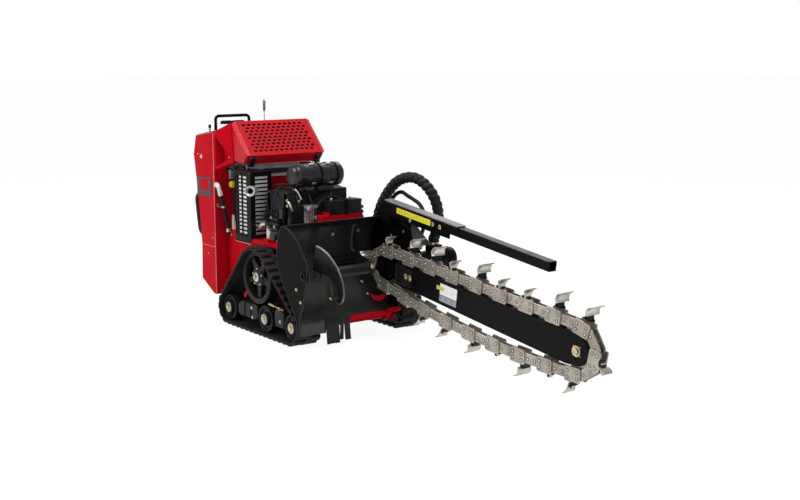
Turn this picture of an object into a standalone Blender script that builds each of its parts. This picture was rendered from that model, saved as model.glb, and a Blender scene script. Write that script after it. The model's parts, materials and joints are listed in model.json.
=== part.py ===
"""Walk-behind tracked trencher: a tracked chassis with an engine and a console, and a digging head that pitches.

Metres, +Z up, +X forward along the boom, +Y to the machine's left. Sizes below are in a frame whose zero is the
ground under the front idlers, midway between the tracks; the last step centres the whole machine on its floor box.
"""
import math

import bmesh
import bpy
from mathutils import Matrix, Vector

# ---------------------------------------------------------------- driving sizes
TOUCH = 0.0003                # gap between pieces that touch
RUN = 0.0010                  # running clearance of a shaft in its bore
SHEET = 0.004                 # sheet metal of the console and guards
PLATE = 0.010                 # chassis plate

TRACK_OUTER = 0.430           # outer face of each track, from the centre plane
TRACK_WIDTH = 0.158
BELT_WEB = 0.008
TREAD_HEIGHT = 0.012
TREAD_PITCH = 0.052
TREAD_LENGTH = 0.030
ROAD_WHEEL_RADIUS = 0.0745
DRIVE_WHEEL_RADIUS = 0.150
BELT_CLEARANCE = 0.0015       # wheels turn inside the belt
REAR_WHEEL_X = -0.711
MIDDLE_WHEEL_X = -0.312
FRONT_WHEEL_X = -0.034
DRIVE_WHEEL_X = -0.406
DRIVE_WHEEL_Z = 0.316
AXLE_RADIUS = 0.014

CHASSIS_HALF = 0.245          # outer face of the side plates
DECK_BOTTOM = 0.494
DECK_THICKNESS = 0.008
DECK_HALF = 0.335
DECK_FRONT = -0.165
DECK_CORNER = -0.745           # behind this the right side of the deck is cut back to the side plate
BULKHEAD_X = -0.170           # front face of the hose bulkhead
HOSE_GUARD_RADIUS = 0.030
BATTERY_FLOOR = 0.655
ENGINE_TOP = 0.785

TOWER_FRONT = -0.990
TOWER_HALF = 0.335
TOWER_TOP = 1.083
SEAM_Z = 0.400
HOOD_HALF = 0.265

PIVOT_X = -0.034              # cross tube that the digging head pitches on
PIVOT_Z = 0.097
PIVOT_RADIUS = 0.024
HEAD_SHAFT_X = 0.145
HEAD_SHAFT_Z = 0.407
SHELL_THICKNESS = 0.006
SHELL_RIGHT = -0.434
HEAD_LEFT = 0.168             # inner face of the left side plate
AUGER_RADIUS = 0.170
AUGER_TUBE_RADIUS = 0.030
AUGER_PITCH = 0.337
FLIGHT_START = 15             # angle from straight up, in degrees
FLIGHT_END = 250
AUGER_INNER = -0.006          # the flight's end next to the chain

BOOM_DROP = math.radians(6.5)  # the boom's nose-down tilt at rest
BOOM_Y = 0.080
BOOM_HALF_WIDTH = 0.025
BOOM_LENGTH = 1.4745          # head shaft to nose bolt
BOOM_ROOT_X = 0.130
HEAD_PITCH_RADIUS = 0.093
NOSE_PITCH_RADIUS = 0.1143
LINK_PITCH = 0.0901           # nearest pitch; the loop takes an even number of links
CHAIN_SAG = 0.046
BIG_LINK_HALF = 0.035
SMALL_LINK_HALF = 0.024
CHAIN_INNER = 0.012           # half the gap between the inner plates
LINK_PLATE = 0.0075
PIN_RADIUS = 0.008
CUP_HEIGHT = 0.055
CUP_REACH = 0.068

MOTOR_END = 0.545             # the drive motor reaches past the left track
MOTOR_RADIUS = 0.054
PORT_Y = 0.415
PORT_HEIGHT = 0.085           # top of the motor's port block above its axis

BAR_Y = 0.1425
BAR_SIZE = 0.050
BAR_DROP = math.radians(6.96)
BAR_REAR_X = 0.045
BAR_REAR_Z = 0.760
BAR_LENGTH = 1.327

# lift cylinder: anchored low in the chassis, pushing the head's carrier
CYLINDER_ANCHOR = (-0.450, 0.140)
CYLINDER_EYE = (-0.022, 0.255)
BARREL_LENGTH = 0.300

# name: colour, roughness, metallic
FINISHES = {
    "red_paint": ((0.52, 0.010, 0.016), 0.35, 0.0),
    "black_paint": ((0.012, 0.012, 0.013), 0.45, 0.0),
    "rubber": ((0.018, 0.018, 0.019), 0.80, 0.0),
    "grey_steel": ((0.32, 0.29, 0.25), 0.50, 0.9),
    "chrome": ((0.75, 0.75, 0.76), 0.15, 1.0),
    "aluminium": ((0.55, 0.58, 0.62), 0.35, 1.0),
    "zinc": ((0.70, 0.58, 0.30), 0.35, 1.0),
    "yellow": ((0.80, 0.75, 0.03), 0.45, 0.0),
    "black_plastic": ((0.020, 0.020, 0.022), 0.55, 0.0),
}

# ---------------------------------------------------------------- scene and helpers
for leftover in list(bpy.data.objects):
    bpy.data.objects.remove(leftover)
PARTS = bpy.data.collections.new("tracked_trencher")
CUTTERS = bpy.data.collections.new("cutters")
SHARP_ANGLE = math.radians(35)
for collection in (PARTS, CUTTERS):
    bpy.context.scene.collection.children.link(collection)


def make_empty(name, location=(0, 0, 0), rotation=(0, 0, 0), parent=None):
    empty = bpy.data.objects.new(name, None)
    empty.location = location
    empty.rotation_euler = rotation
    empty.parent = parent
    empty.hide_render = True
    CUTTERS.objects.link(empty)
    return empty


MACHINE = make_empty("machine")
HEAD_PIVOT = make_empty("head_pivot", (PIVOT_X, 0, PIVOT_Z), parent=MACHINE)
BOOM_AXIS = make_empty(
    "boom_axis", (HEAD_SHAFT_X - PIVOT_X, BOOM_Y, HEAD_SHAFT_Z - PIVOT_Z), (0, BOOM_DROP, 0), HEAD_PIVOT
)


def finish(name):
    if name in bpy.data.materials:
        return bpy.data.materials[name]
    colour, roughness, metallic = FINISHES[name]
    material = bpy.data.materials.new(name)
    material.use_nodes = True
    shader = material.node_tree.nodes["Principled BSDF"]
    shader.inputs["Base Color"].default_value = (*colour, 1)
    shader.inputs["Roughness"].default_value = roughness
    shader.inputs["Metallic"].default_value = metallic
    return material


def tool(mesh, smooth=False):
    """A helper solid in the cutters' collection."""
    if smooth:
        mesh.shade_smooth()
        mesh.set_sharp_from_angle(angle=SHARP_ANGLE)
    solid = bpy.data.objects.new("tool", mesh)
    solid.hide_render = True
    solid.display_type = "WIRE"
    CUTTERS.objects.link(solid)
    return solid


def from_bmesh(bm, smooth=False):
    mesh = bpy.data.meshes.new("solid")
    bm.normal_update()
    bm.to_mesh(mesh)
    bm.free()
    return tool(mesh, smooth)


def box(x, y, z):
    """A block between the low and high value of each axis."""
    bm = bmesh.new()
    bmesh.ops.create_cube(bm, size=1)
    low, high = (Vector(min(pair) for pair in (x, y, z)), Vector(max(pair) for pair in (x, y, z)))
    bmesh.ops.scale(bm, vec=high - low, verts=bm.verts)
    bmesh.ops.translate(bm, vec=(low + high) / 2, verts=bm.verts)
    return from_bmesh(bm)


def rod(start, end, radius, sides=24, end_radius=None):
    """A cylinder or cone between two points."""
    start, end = Vector(start), Vector(end)
    bm = bmesh.new()
    bmesh.ops.create_cone(
        bm, cap_ends=True, segments=sides, radius1=radius, radius2=radius if end_radius is None else end_radius,
        depth=(end - start).length,
    )
    turn = (end - start).to_track_quat("Z", "Y").to_matrix().to_4x4()
    bmesh.ops.transform(bm, matrix=Matrix.Translation((start + end) / 2) @ turn, verts=bm.verts)
    return from_bmesh(bm, smooth=sides > 8)


def bake(obj, smooth=False):
    """The evaluated mesh of a curve or modified object as a tool, its caps welded; the object goes."""
    bpy.context.view_layer.update()
    mesh = bpy.data.meshes.new_from_object(obj.evaluated_get(bpy.context.evaluated_depsgraph_get()))
    mesh.transform(obj.matrix_world)
    bm = bmesh.new()
    bm.from_mesh(mesh)
    bmesh.ops.remove_doubles(bm, verts=bm.verts, dist=0.00001)
    bmesh.ops.recalc_face_normals(bm, faces=bm.faces)
    bpy.data.objects.remove(obj)
    return from_bmesh(bm, smooth)


def slab(outline, y, holes=()):
    """A flat outline in X and Z, with holes, between two values of Y."""
    curve = bpy.data.curves.new("outline", "CURVE")
    curve.dimensions = "2D"
    curve.fill_mode = "BOTH"
    curve.extrude = abs(y[1] - y[0]) / 2
    for ring in (outline, *holes):
        spline = curve.splines.new("POLY")
        spline.points.add(len(ring) - 1)
        for point, (px, pz) in zip(spline.points, ring):
            point.co = (px, pz, 0, 1)
        spline.use_cyclic_u = True
    obj = bpy.data.objects.new("outline", curve)
    obj.rotation_euler = (math.radians(90), 0, 0)
    obj.location = (0, (y[0] + y[1]) / 2, 0)
    CUTTERS.objects.link(obj)
    return bake(obj)


def tube(points, radius, sides=2):
    """A round bar along points, with filled ends."""
    curve = bpy.data.curves.new("path", "CURVE")
    curve.dimensions = "3D"
    curve.bevel_depth = radius
    curve.bevel_resolution = sides
    curve.use_fill_caps = True
    spline = curve.splines.new("POLY")
    spline.points.add(len(points) - 1)
    for point, place in zip(spline.points, points):
        point.co = (*place, 1)
    obj = bpy.data.objects.new("path", curve)
    CUTTERS.objects.link(obj)
    return bake(obj, smooth=True)


def turned(profile, centre, axis="Y", sides=20):
    """A profile of (radius, height) pairs, closed by itself, turned about an axis through centre."""
    bm = bmesh.new()
    verts = [bm.verts.new((radius, 0, height)) for radius, height in profile]
    for first, second in zip(verts, verts[1:] + verts[:1]):
        bm.edges.new((first, second))
    mesh = bpy.data.meshes.new("profile")
    bm.to_mesh(mesh)
    bm.free()
    obj = bpy.data.objects.new("profile", mesh)
    CUTTERS.objects.link(obj)
    screw = obj.modifiers.new("turn", "SCREW")
    screw.steps = screw.render_steps = sides
    screw.use_merge_vertices = True
    screw.merge_threshold = 0.0001
    turn = Matrix.Rotation(math.radians(90), 4, {"X": "Y", "Y": "X", "Z": "Z"}[axis]) if axis != "Z" else Matrix()
    obj.matrix_world = Matrix.Translation(centre) @ turn
    return bake(obj, smooth=True)


def arc(centre, radius, start, end, steps):
    """Points of an arc in X and Z; angles in degrees from +X towards +Z."""
    angles = [math.radians(start + (end - start) * i / steps) for i in range(steps + 1)]
    return [(centre[0] + radius * math.cos(a), centre[1] + radius * math.sin(a)) for a in angles]


def circle(centre, radius, steps):
    return arc(centre, radius, 0, 360, steps)[:-1]


def offset(points, distance):
    """An open line moved sideways to its left by a distance, with mitred corners."""
    moved = []
    for i, point in enumerate(points):
        before = Vector(points[max(i - 1, 0)])
        after = Vector(points[min(i + 1, len(points) - 1)])
        here = Vector(point)
        first = (here - before).normalized() if i else (after - here).normalized()
        second = (after - here).normalized() if i < len(points) - 1 else first
        mitre = (Vector((-first.y, first.x)) + Vector((-second.y, second.x))).normalized()
        moved.append(tuple(here + mitre * distance / max(mitre.dot(Vector((-first.y, first.x))), 0.3)))
    return moved


def part(name, finish_name, solids, cuts=(), pivot=(0, 0, 0), parent=None, at=None):
    """One sub-part: the union of the solids less the cuts, with its origin on pivot."""
    base, *others = solids
    base.name = base.data.name = name
    CUTTERS.objects.unlink(base)
    PARTS.objects.link(base)
    base.hide_render = False
    base.display_type = "TEXTURED"
    base.data.materials.clear()
    base.data.materials.append(finish(finish_name))
    base.parent = parent or MACHINE
    shift = Matrix.Translation(-Vector(pivot))
    base.data.transform(shift)
    base.location = at if at is not None else pivot
    for operation, tools in (("UNION", others), ("DIFFERENCE", cuts)):
        for i, helper in enumerate(tools):
            helper.data.transform(shift)
            helper.parent = base
            helper.name = f"{name}_{operation.lower()}_{i}"
            modifier = base.modifiers.new(f"{operation.lower()} {i}", "BOOLEAN")
            modifier.operation = operation
            modifier.solver = "EXACT"
            modifier.object = helper
    return base


def in_head(name, finish_name, solids, cuts=(), pivot=None):
    """A sub-part of the digging head, given in the machine's frame."""
    pivot = Vector(pivot or (PIVOT_X, 0, PIVOT_Z))
    at = pivot - Vector((PIVOT_X, 0, PIVOT_Z))
    return part(name, finish_name, solids, cuts, pivot, HEAD_PIVOT, at)


def joined(solids):
    """Several closed solids as one mesh, for a Boolean that resolves their overlaps."""
    bm = bmesh.new()
    for solid in solids:
        bm.from_mesh(solid.data)
        bpy.data.objects.remove(solid)
    return from_bmesh(bm)


# ---------------------------------------------------------------- tracks
WHEEL_Z = TREAD_HEIGHT + BELT_WEB + BELT_CLEARANCE + ROAD_WHEEL_RADIUS
TRACK_CENTRE = TRACK_OUTER - TRACK_WIDTH / 2
WHEELS = {
    "rear_wheel": (REAR_WHEEL_X, WHEEL_Z),
    "middle_wheel": (MIDDLE_WHEEL_X, WHEEL_Z),
    "front_wheel": (FRONT_WHEEL_X, WHEEL_Z),
}
DRIVE_CENTRE = (DRIVE_WHEEL_X, DRIVE_WHEEL_Z)
BELT_CIRCLES = [
    (WHEELS["front_wheel"], ROAD_WHEEL_RADIUS),
    (DRIVE_CENTRE, DRIVE_WHEEL_RADIUS),
    (WHEELS["rear_wheel"], ROAD_WHEEL_RADIUS),
]
FRAME_INNER = 0.296           # the track frame's plate, from the centre plane
FRAME_OUTER = 0.308
WHEEL_INNER = 0.318
WHEEL_OUTER = 0.408
DISC_INSET = 0.008            # the drive disc is thinner than the road wheels by this at each side


def belt_points(extra, step):
    """The belt's line at a distance outside its wheels, as points about a step apart with their tangents."""
    corners = []
    count = len(BELT_CIRCLES)
    tangents = []
    for i in range(count):
        (c0, r0), (c1, r1) = BELT_CIRCLES[i], BELT_CIRCLES[(i + 1) % count]
        line = Vector(c1) - Vector(c0)
        angle = math.atan2(line.y, line.x) - math.acos((r0 - r1) / line.length)
        tangents.append(angle)
    for i in range(count):
        centre, radius = BELT_CIRCLES[i]
        start, end = tangents[i - 1], tangents[i]
        while end < start:
            end += 2 * math.pi
        size = radius + BELT_CLEARANCE + extra
        steps = max(4, round((end - start) * size / step))
        for k in range(steps + 1):
            a = start + (end - start) * k / steps
            corners.append((Vector(centre) + size * Vector((math.cos(a), math.sin(a))), a))
    line = [corners[0]]
    for (here, a), (there, b) in zip(corners, corners[1:] + corners[:1]):
        gap = (there - here).length
        pieces = max(1, round(gap / step))
        for k in range(1, pieces + 1):
            line.append((here.lerp(there, k / pieces), a + (b - a) * k / pieces if abs(b - a) < 1 else a))
    return line[:-1]


def along(points, distance):
    """The place and outward angle at a distance along a closed line of points."""
    for (here, a), (there, b) in zip(points, points[1:] + points[:1]):
        gap = (there - here).length
        if distance <= gap:
            turn = (b - a + math.pi) % (2 * math.pi) - math.pi
            return here.lerp(there, distance / gap), a + turn * distance / gap
        distance -= gap
    return points[0]


def make_belt(side_name, side):
    inner = [tuple(place) for place, _ in belt_points(0, 0.018)]
    outer_line = belt_points(BELT_WEB, 0.018)
    length = sum((b[0] - a[0]).length for a, b in zip(outer_line, outer_line[1:] + outer_line[:1]))
    treads = round(length / TREAD_PITCH)
    outer = []
    for i in range(treads):
        start = i * length / treads
        for run, height in (
            (0.0, 0.0), (0.004, TREAD_HEIGHT), (TREAD_LENGTH - 0.004, TREAD_HEIGHT), (TREAD_LENGTH, 0.0)
        ):
            place, angle = along(outer_line, start + run)
            outer.append(tuple(place + height * Vector((math.cos(angle), math.sin(angle)))))
    faces = (side * (TRACK_OUTER - TRACK_WIDTH), side * TRACK_OUTER)
    part(f"track_belt_{side_name}", "rubber", [slab(outer, faces, [inner])])


def make_track(side_name, side):
    make_belt(side_name, side)
    low = WHEEL_Z - 0.028
    plate = slab(
        [(REAR_WHEEL_X - 0.03, low), (FRONT_WHEEL_X + 0.03, low), (FRONT_WHEEL_X + 0.03, WHEEL_Z + 0.025),
         (-0.26, 0.185), (-0.56, 0.185), (REAR_WHEEL_X - 0.03, WHEEL_Z + 0.025)],
        (side * FRAME_INNER, side * FRAME_OUTER),
    )
    solids = [plate]
    for x, z in WHEELS.values():
        solids.append(rod((x, side * (FRAME_OUTER - 0.004), z), (x, side * WHEEL_OUTER, z), AXLE_RADIUS))
    for x in (-0.50, -0.24):
        solids.append(
            box((x - 0.03, x + 0.03), (side * (CHASSIS_HALF + TOUCH), side * (FRAME_INNER + 0.004)), (0.085, 0.165))
        )
    part(f"track_frame_{side_name}", "black_paint", solids)
    bore = AXLE_RADIUS + RUN
    for name, (x, z) in WHEELS.items():
        half = (WHEEL_OUTER - WHEEL_INNER) / 2
        profile = [
            (bore, -half), (0.034, -half), (ROAD_WHEEL_RADIUS, -half + 0.012), (ROAD_WHEEL_RADIUS, half - 0.006),
            (0.058, half - 0.006), (0.048, half - 0.016), (0.034, half), (bore, half),
        ]
        centre = (x, side * (WHEEL_INNER + WHEEL_OUTER) / 2, z)
        if side > 0:
            profile = [(radius, -height) for radius, height in profile]
        part(f"{name}_{side_name}", "black_paint", [turned(profile, centre)], pivot=centre)
    x, z = DRIVE_CENTRE
    windows = []
    spokes = 5
    for i in range(spokes):
        middle = 90 + 360 * i / spokes
        outer_arc = arc(DRIVE_CENTRE, DRIVE_WHEEL_RADIUS - 0.030, middle - 26, middle + 26, 5)
        inner_arc = arc(DRIVE_CENTRE, 0.056, middle + 14, middle - 14, 2)
        windows.append(outer_arc + inner_arc)
    windows.append(circle(DRIVE_CENTRE, bore, 24))
    disc = slab(circle(DRIVE_CENTRE, DRIVE_WHEEL_RADIUS, 48),
                (side * (WHEEL_INNER + DISC_INSET), side * (WHEEL_OUTER - DISC_INSET)), windows)
    part(f"drive_wheel_{side_name}", "black_paint", [disc], pivot=(x, side * 0.363, z))


# ---------------------------------------------------------------- chassis
def make_chassis():
    deck_top = DECK_BOTTOM + DECK_THICKNESS
    rear = TOWER_FRONT + TOUCH
    inside = CHASSIS_HALF - PLATE / 2
    anchor_x, anchor_z = CYLINDER_ANCHOR
    drive_x, drive_z = DRIVE_CENTRE
    frame = []
    for side in (-1, 1):
        ear = arc((PIVOT_X, PIVOT_Z), 0.045, 20, -110, 8)
        outline = [
            (rear, 0.130), (rear, DECK_BOTTOM - TOUCH), (DECK_FRONT, DECK_BOTTOM - TOUCH), (DECK_FRONT, 0.36),
            (-0.100, 0.250), (-0.028, 0.150), *ear, (-0.12, 0.06), (-0.90, 0.06),
        ]
        frame.append(slab(outline, (side * (CHASSIS_HALF - PLATE), side * CHASSIS_HALF)))
        motor_end = side * (WHEEL_INNER + DISC_INSET - TOUCH)
        frame.append(rod((drive_x, side * inside, drive_z), (drive_x, motor_end, drive_z), 0.048, 20))
        frame.append(rod((drive_x, side * inside, drive_z), (drive_x, side * 0.404, drive_z), AXLE_RADIUS))
        frame.append(box((anchor_x - 0.100, anchor_x + 0.025), (side * 0.033, side * 0.045), (0.110, 0.165)))
    frame += [
        rod((PIVOT_X, -inside, PIVOT_Z), (PIVOT_X, inside, PIVOT_Z), PIVOT_RADIUS),
        box((anchor_x - 0.150, anchor_x - 0.095), (-inside, inside), (0.100, 0.170)),
        rod((anchor_x, -0.039, anchor_z), (anchor_x, 0.039, anchor_z), 0.011),
        box((-0.90, -0.84), (-inside, inside), (0.16, 0.26)),
    ]
    part("chassis_frame", "red_paint", frame)
    part(
        "deck_plate", "red_paint",
        [box((DECK_CORNER, DECK_FRONT), (-DECK_HALF, DECK_HALF), (DECK_BOTTOM, deck_top)),
         box((rear, DECK_CORNER + 0.010), (-CHASSIS_HALF, DECK_HALF), (DECK_BOTTOM, deck_top)),
         box((-0.30, -0.22), (-DECK_HALF, -DECK_HALF + 0.05), (deck_top - 0.002, 0.530)),
         box((-0.44, -0.40), (-DECK_HALF + 0.01, -DECK_HALF + 0.06), (deck_top - 0.002, 0.520)),
         box((-0.248, -0.175), (-0.110, 0.160), (deck_top - 0.002, BATTERY_FLOOR)),
         box((BULKHEAD_X - 0.020, BULKHEAD_X), (0.19, 0.31), (deck_top - 0.002, 0.62))],
    )


def make_lift_cylinder():
    start = Vector((CYLINDER_ANCHOR[0], 0, CYLINDER_ANCHOR[1]))
    end = Vector((CYLINDER_EYE[0], 0, CYLINDER_EYE[1]))
    way = (end - start).normalized()
    eye = turned([(0.011 + RUN, -0.030), (0.024, -0.030), (0.024, 0.030), (0.011 + RUN, 0.030)], start, sides=24)
    barrel = rod(start + way * 0.020, start + way * BARREL_LENGTH, 0.029, 24)
    bore = rod(start + way * 0.060, start + way * (BARREL_LENGTH + 0.01), 0.020 + RUN, 24)
    part("lift_cylinder_barrel", "black_paint", [eye, barrel], [bore], pivot=start)
    piston = rod(start + way * 0.140, start + way * 0.170, 0.020, 24)
    shaft = rod(start + way * 0.150, end - way * 0.046, 0.0135, 20)
    nut = rod(end - way * 0.052, end - way * 0.034, 0.019, 20)
    part("lift_cylinder_rod", "chrome", [shaft, piston, nut], pivot=start + way * 0.2)


# ---------------------------------------------------------------- console
TOWER_OUTLINE = [
    (TOWER_FRONT, SEAM_Z), (TOWER_FRONT, TOWER_TOP), (-1.204, 1.050), (-1.237, 0.938), (-1.191, 0.681),
    (-1.159, SEAM_Z),
]

REAR_LINE = [(-1.204, 1.038), (-1.231, 0.938), (-1.185, 0.681), (-1.153, SEAM_Z + 0.004)]


def make_tower():
    half = TOWER_HALF
    back = -1.30
    shell = slab(TOWER_OUTLINE, (-half, half))
    hollow_front = TOWER_FRONT - SHEET
    hollow = slab(
        [(hollow_front, SEAM_Z - 0.05), (hollow_front, TOWER_TOP - SHEET - 0.002), (-1.20, 1.044),
         (back, 1.03), (back, SEAM_Z - 0.05)],
        (-half + SHEET, half - SHEET),
    )
    slot = box((-1.160, -1.040), (-0.150, -0.130), (1.0, 1.2))
    lever_hole = box((-1.150, -1.050), (0.070, 0.090), (1.0, 1.2))
    other_slots = [box((-1.135, -1.065), (y - 0.008, y + 0.008), (1.0, 1.2)) for y in SMALL_LEVERS.values()]
    wings, pockets = hood_wings()
    part("tower_shell", "red_paint", [shell, *wings], [hollow, slot, lever_hole, *other_slots, *pockets])
    # the rear panel closes the back between the sides and follows the bulge
    inner_line = [(x + SHEET, z) for x, z in reversed(REAR_LINE)]
    part(
        "rear_panel", "black_paint",
        [slab(REAR_LINE + inner_line, (-half + SHEET + TOUCH, half - SHEET - TOUCH))],
    )
    lower = slab(
        [(TOWER_FRONT, SEAM_Z - TOUCH), (-1.159, SEAM_Z - TOUCH), (-1.168, 0.19), (-1.022, 0.115),
         (TOWER_FRONT, 0.115)],
        (-half, half),
    )
    part("hydraulic_tank", "red_paint", [lower])
    make_thigh_pad()


def hood_wings():
    """Wings between the tower's corners and the hood's sides, each with a three-cornered pocket."""
    wings, pockets = [], []
    near = HOOD_HALF + 0.0009
    back = TOWER_FRONT - SHEET / 2
    for side in (-1, 1):
        bm = bmesh.new()
        for x, y, z in (
            (back, TOWER_HALF, 0.858), (back, TOWER_HALF, 1.079), (back, near, 0.858), (back, near, 1.082),
            (-0.868, near, 0.908), (-0.893, near, 1.138), (-0.868, near + 0.004, 0.908), (-0.893, near + 0.004, 1.138),
        ):
            bm.verts.new((x, side * y, z))
        bmesh.ops.convex_hull(bm, input=bm.verts)
        wings.append(from_bmesh(bm))
        pockets.append(slab([(-0.976, 1.055), (-0.976, 0.882), (-0.885, 0.932)],
                            (side * (near + 0.006), side * (TOWER_HALF + 0.05))))
    return wings, pockets


def make_thigh_pad():
    """A cushion across the back of the console, on two stand-offs square to the rear panel."""
    outline = [(-1.337, 0.705), (-1.292, 0.710), (-1.244, 0.430), (-1.289, 0.410)]
    high, low = Vector(REAR_LINE[2]), Vector(REAR_LINE[3])
    out = Vector((low.y - high.y, high.x - low.x)).normalized()
    foot = high.lerp(low, 0.45)
    solids = [slab(outline, (-0.300, 0.300))]
    for y in (-0.200, 0.200):
        start, end = foot + out * TOUCH, foot + out * 0.110
        solids.append(rod((start.x, y, start.y), (end.x, y, end.y), 0.016, 16))
    part("thigh_pad", "rubber", solids)


PANEL_SLOPE = (TOWER_TOP - 1.050) / (TOWER_FRONT + 1.204)
SLOPE_GAP = 0.0016            # a round base clears the sloping panel by this
SMALL_LEVERS = {"trencher_drive_lever": 0.160, "parking_brake_lever": 0.235, "throttle_lever": -0.295}


def panel_z(x):
    """Height of the tower's top face."""
    return TOWER_TOP + (x - TOWER_FRONT) * PANEL_SLOPE


def make_controls():
    thickness = 0.006
    low, high = -1.196, -0.998
    surface = thickness + TOUCH
    outline = [(low, panel_z(low) + TOUCH), (high, panel_z(high) + TOUCH), (high, panel_z(high) + surface),
               (low, panel_z(low) + surface)]
    cuts = [box((-1.160, -1.040), (-0.150, -0.130), (1.0, 1.2)), box((-1.150, -1.050), (0.070, 0.090), (1.0, 1.2))]
    cuts += [box((-1.135, -1.065), (y - 0.008, y + 0.008), (1.0, 1.2)) for y in SMALL_LEVERS.values()]
    part("control_panel", "black_plastic", [slab(outline, (-0.325, 0.325))], cuts)
    top = panel_z(-1.1) + surface + TOUCH
    # fixed loop that the operator's hand rests on
    loop = [(-1.1, -0.255, top + 0.0014), (-1.1, -0.255, 1.150), (-1.1, -0.250, 1.160), (-1.1, -0.238, 1.167),
            (-1.1, -0.045, 1.167), (-1.1, -0.033, 1.160), (-1.1, -0.028, 1.150), (-1.1, -0.028, top + 0.0014)]
    part("reference_bar", "black_paint", [tube(loop, 0.0095)])
    # traction lever: a yoke under the panel rocks fore and aft
    axis_z = 0.990
    stem = box((-1.106, -1.094), (-0.146, -0.134), (axis_z, 1.128))
    grip = tube([(-1.1, -0.220, 1.128), (-1.1, -0.140, 1.128), (-1.1, -0.063, 1.128)], 0.009)
    hub = rod((-1.1, -0.156, axis_z), (-1.1, -0.124, axis_z), 0.016, 20)
    part("traction_lever", "black_paint", [stem, grip, hub],
         [rod((-1.1, -0.2, axis_z), (-1.1, -0.1, axis_z), 0.006 + RUN, 20)], pivot=(-1.1, -0.14, axis_z))
    shaft = rod((-1.1, -TOWER_HALF + SHEET + TOUCH, axis_z), (-1.1, TOWER_HALF - SHEET - TOUCH, axis_z), 0.006, 20)
    part("lever_shaft", "grey_steel", [shaft])
    levers = {"boom_lever": (0.080, 1.257, 1.189), **{n: (y, 1.118, 1.098) for n, y in SMALL_LEVERS.items()}}
    for name, (y, tip, grip_low) in levers.items():
        rod_radius = 0.004
        solids = [
            rod((-1.1, y - 0.007, axis_z), (-1.1, y + 0.007, axis_z), 0.014, 20),
            rod((-1.1, y, axis_z + 0.010), (-1.1, y, grip_low + 0.002), rod_radius, 12),
            rod((-1.1, y, grip_low), (-1.1, y, tip), 0.007, 16, end_radius=0.0085),
        ]
        part(name, "chrome" if name == "boom_lever" else "black_plastic", solids,
             [rod((-1.1, y - 0.02, axis_z), (-1.1, y + 0.02, axis_z), 0.006 + RUN, 20)], pivot=(-1.1, y, axis_z))
    key_top = panel_z(-1.16) + surface
    key_y = 0.300
    key = [rod((-1.16, key_y, key_top + SLOPE_GAP), (-1.16, key_y, key_top + 0.008), 0.008, 16),
           box((-1.163, -1.157), (key_y - 0.013, key_y + 0.013), (key_top + 0.006, key_top + 0.026))]
    part("ignition_key", "chrome", key, pivot=(-1.16, key_y, key_top))
    knob_y = 0.270
    knob_top = panel_z(-1.03) + surface
    knob = [rod((-1.03, knob_y, knob_top + SLOPE_GAP), (-1.03, knob_y, knob_top + 0.010), 0.005, 12),
            rod((-1.03, knob_y, knob_top + 0.008), (-1.03, knob_y, knob_top + 0.022), 0.012, 20)]
    part("choke_knob", "black_plastic", knob, pivot=(-1.03, knob_y, knob_top))


# ---------------------------------------------------------------- hood
HOOD_TOP = (-0.887, 1.146)
HOOD_LIP = (-0.706, 0.957)
HOOD_REAR = (-0.968, 1.112)


def make_hood():
    outline = [HOOD_REAR, (-0.958, 0.872), (-0.857, 0.908), (-0.758, 0.900), HOOD_LIP, HOOD_TOP]
    rear, low_front, lip, top = (Vector(outline[i]) for i in (0, 3, 4, 5))
    wall = 0.005
    inside = [
        (rear.x - 0.001, rear.y - 0.0074), (rear.x - 0.001, 0.80), (low_front.x - wall, 0.80),
        (low_front.x - wall, low_front.y + 0.004), (lip.x - 0.010, lip.y + 0.002), (top.x - 0.002, top.y - 0.008),
    ]
    shell = slab(outline, (-HOOD_HALF, HOOD_HALF))
    hollow = slab(inside, (-HOOD_HALF + wall, HOOD_HALF - wall))
    hinge = (TOWER_FRONT + 0.0035, TOWER_TOP + 0.0055)
    leaf = slab(
        [(hinge[0] - 0.004, hinge[1] + 0.004), (rear.x - 0.002, rear.y + 0.0015), (rear.x + 0.006, rear.y + 0.001),
         (rear.x + 0.002, rear.y - 0.0045), (hinge[0] + 0.004, hinge[1] - 0.002)],
        (-0.200, 0.200),
    )
    knuckle = rod((hinge[0], -0.200, hinge[1]), (hinge[0], 0.200, hinge[1]), 0.006, 16)
    part("hood", "red_paint", [shell, leaf, knuckle], [hollow], pivot=(hinge[0], 0, hinge[1]))
    # rubber draw latches hinge on the hood's sloping lower face, near its lip
    down = (Vector(outline[3]) - Vector(HOOD_LIP)).normalized()
    out = Vector((-down.y, down.x))
    hinge_line = Vector(HOOD_LIP) + down * 0.014 + out * (0.007 + TOUCH)
    for side_name, side in (("right", -1), ("left", 1)):
        y = side * 0.225
        x, z = hinge_line
        strap = [hinge_line + down * a + out * b for a, b in ((0, -0.004), (0.052, -0.004), (0.052, 0.004), (0, 0.004))]
        pull = [hinge_line + down * a + out * b for a, b in ((0.042, -0.006), (0.060, -0.006), (0.060, 0.010),
                                                             (0.046, 0.010))]
        solids = [rod((x, y - 0.014, z), (x, y + 0.014, z), 0.007, 16), slab(strap, (y - 0.009, y + 0.009)),
                  slab(pull, (y - 0.015, y + 0.015))]
        part(f"hood_latch_{side_name}", "rubber", solids, pivot=(x, y, z))


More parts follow.
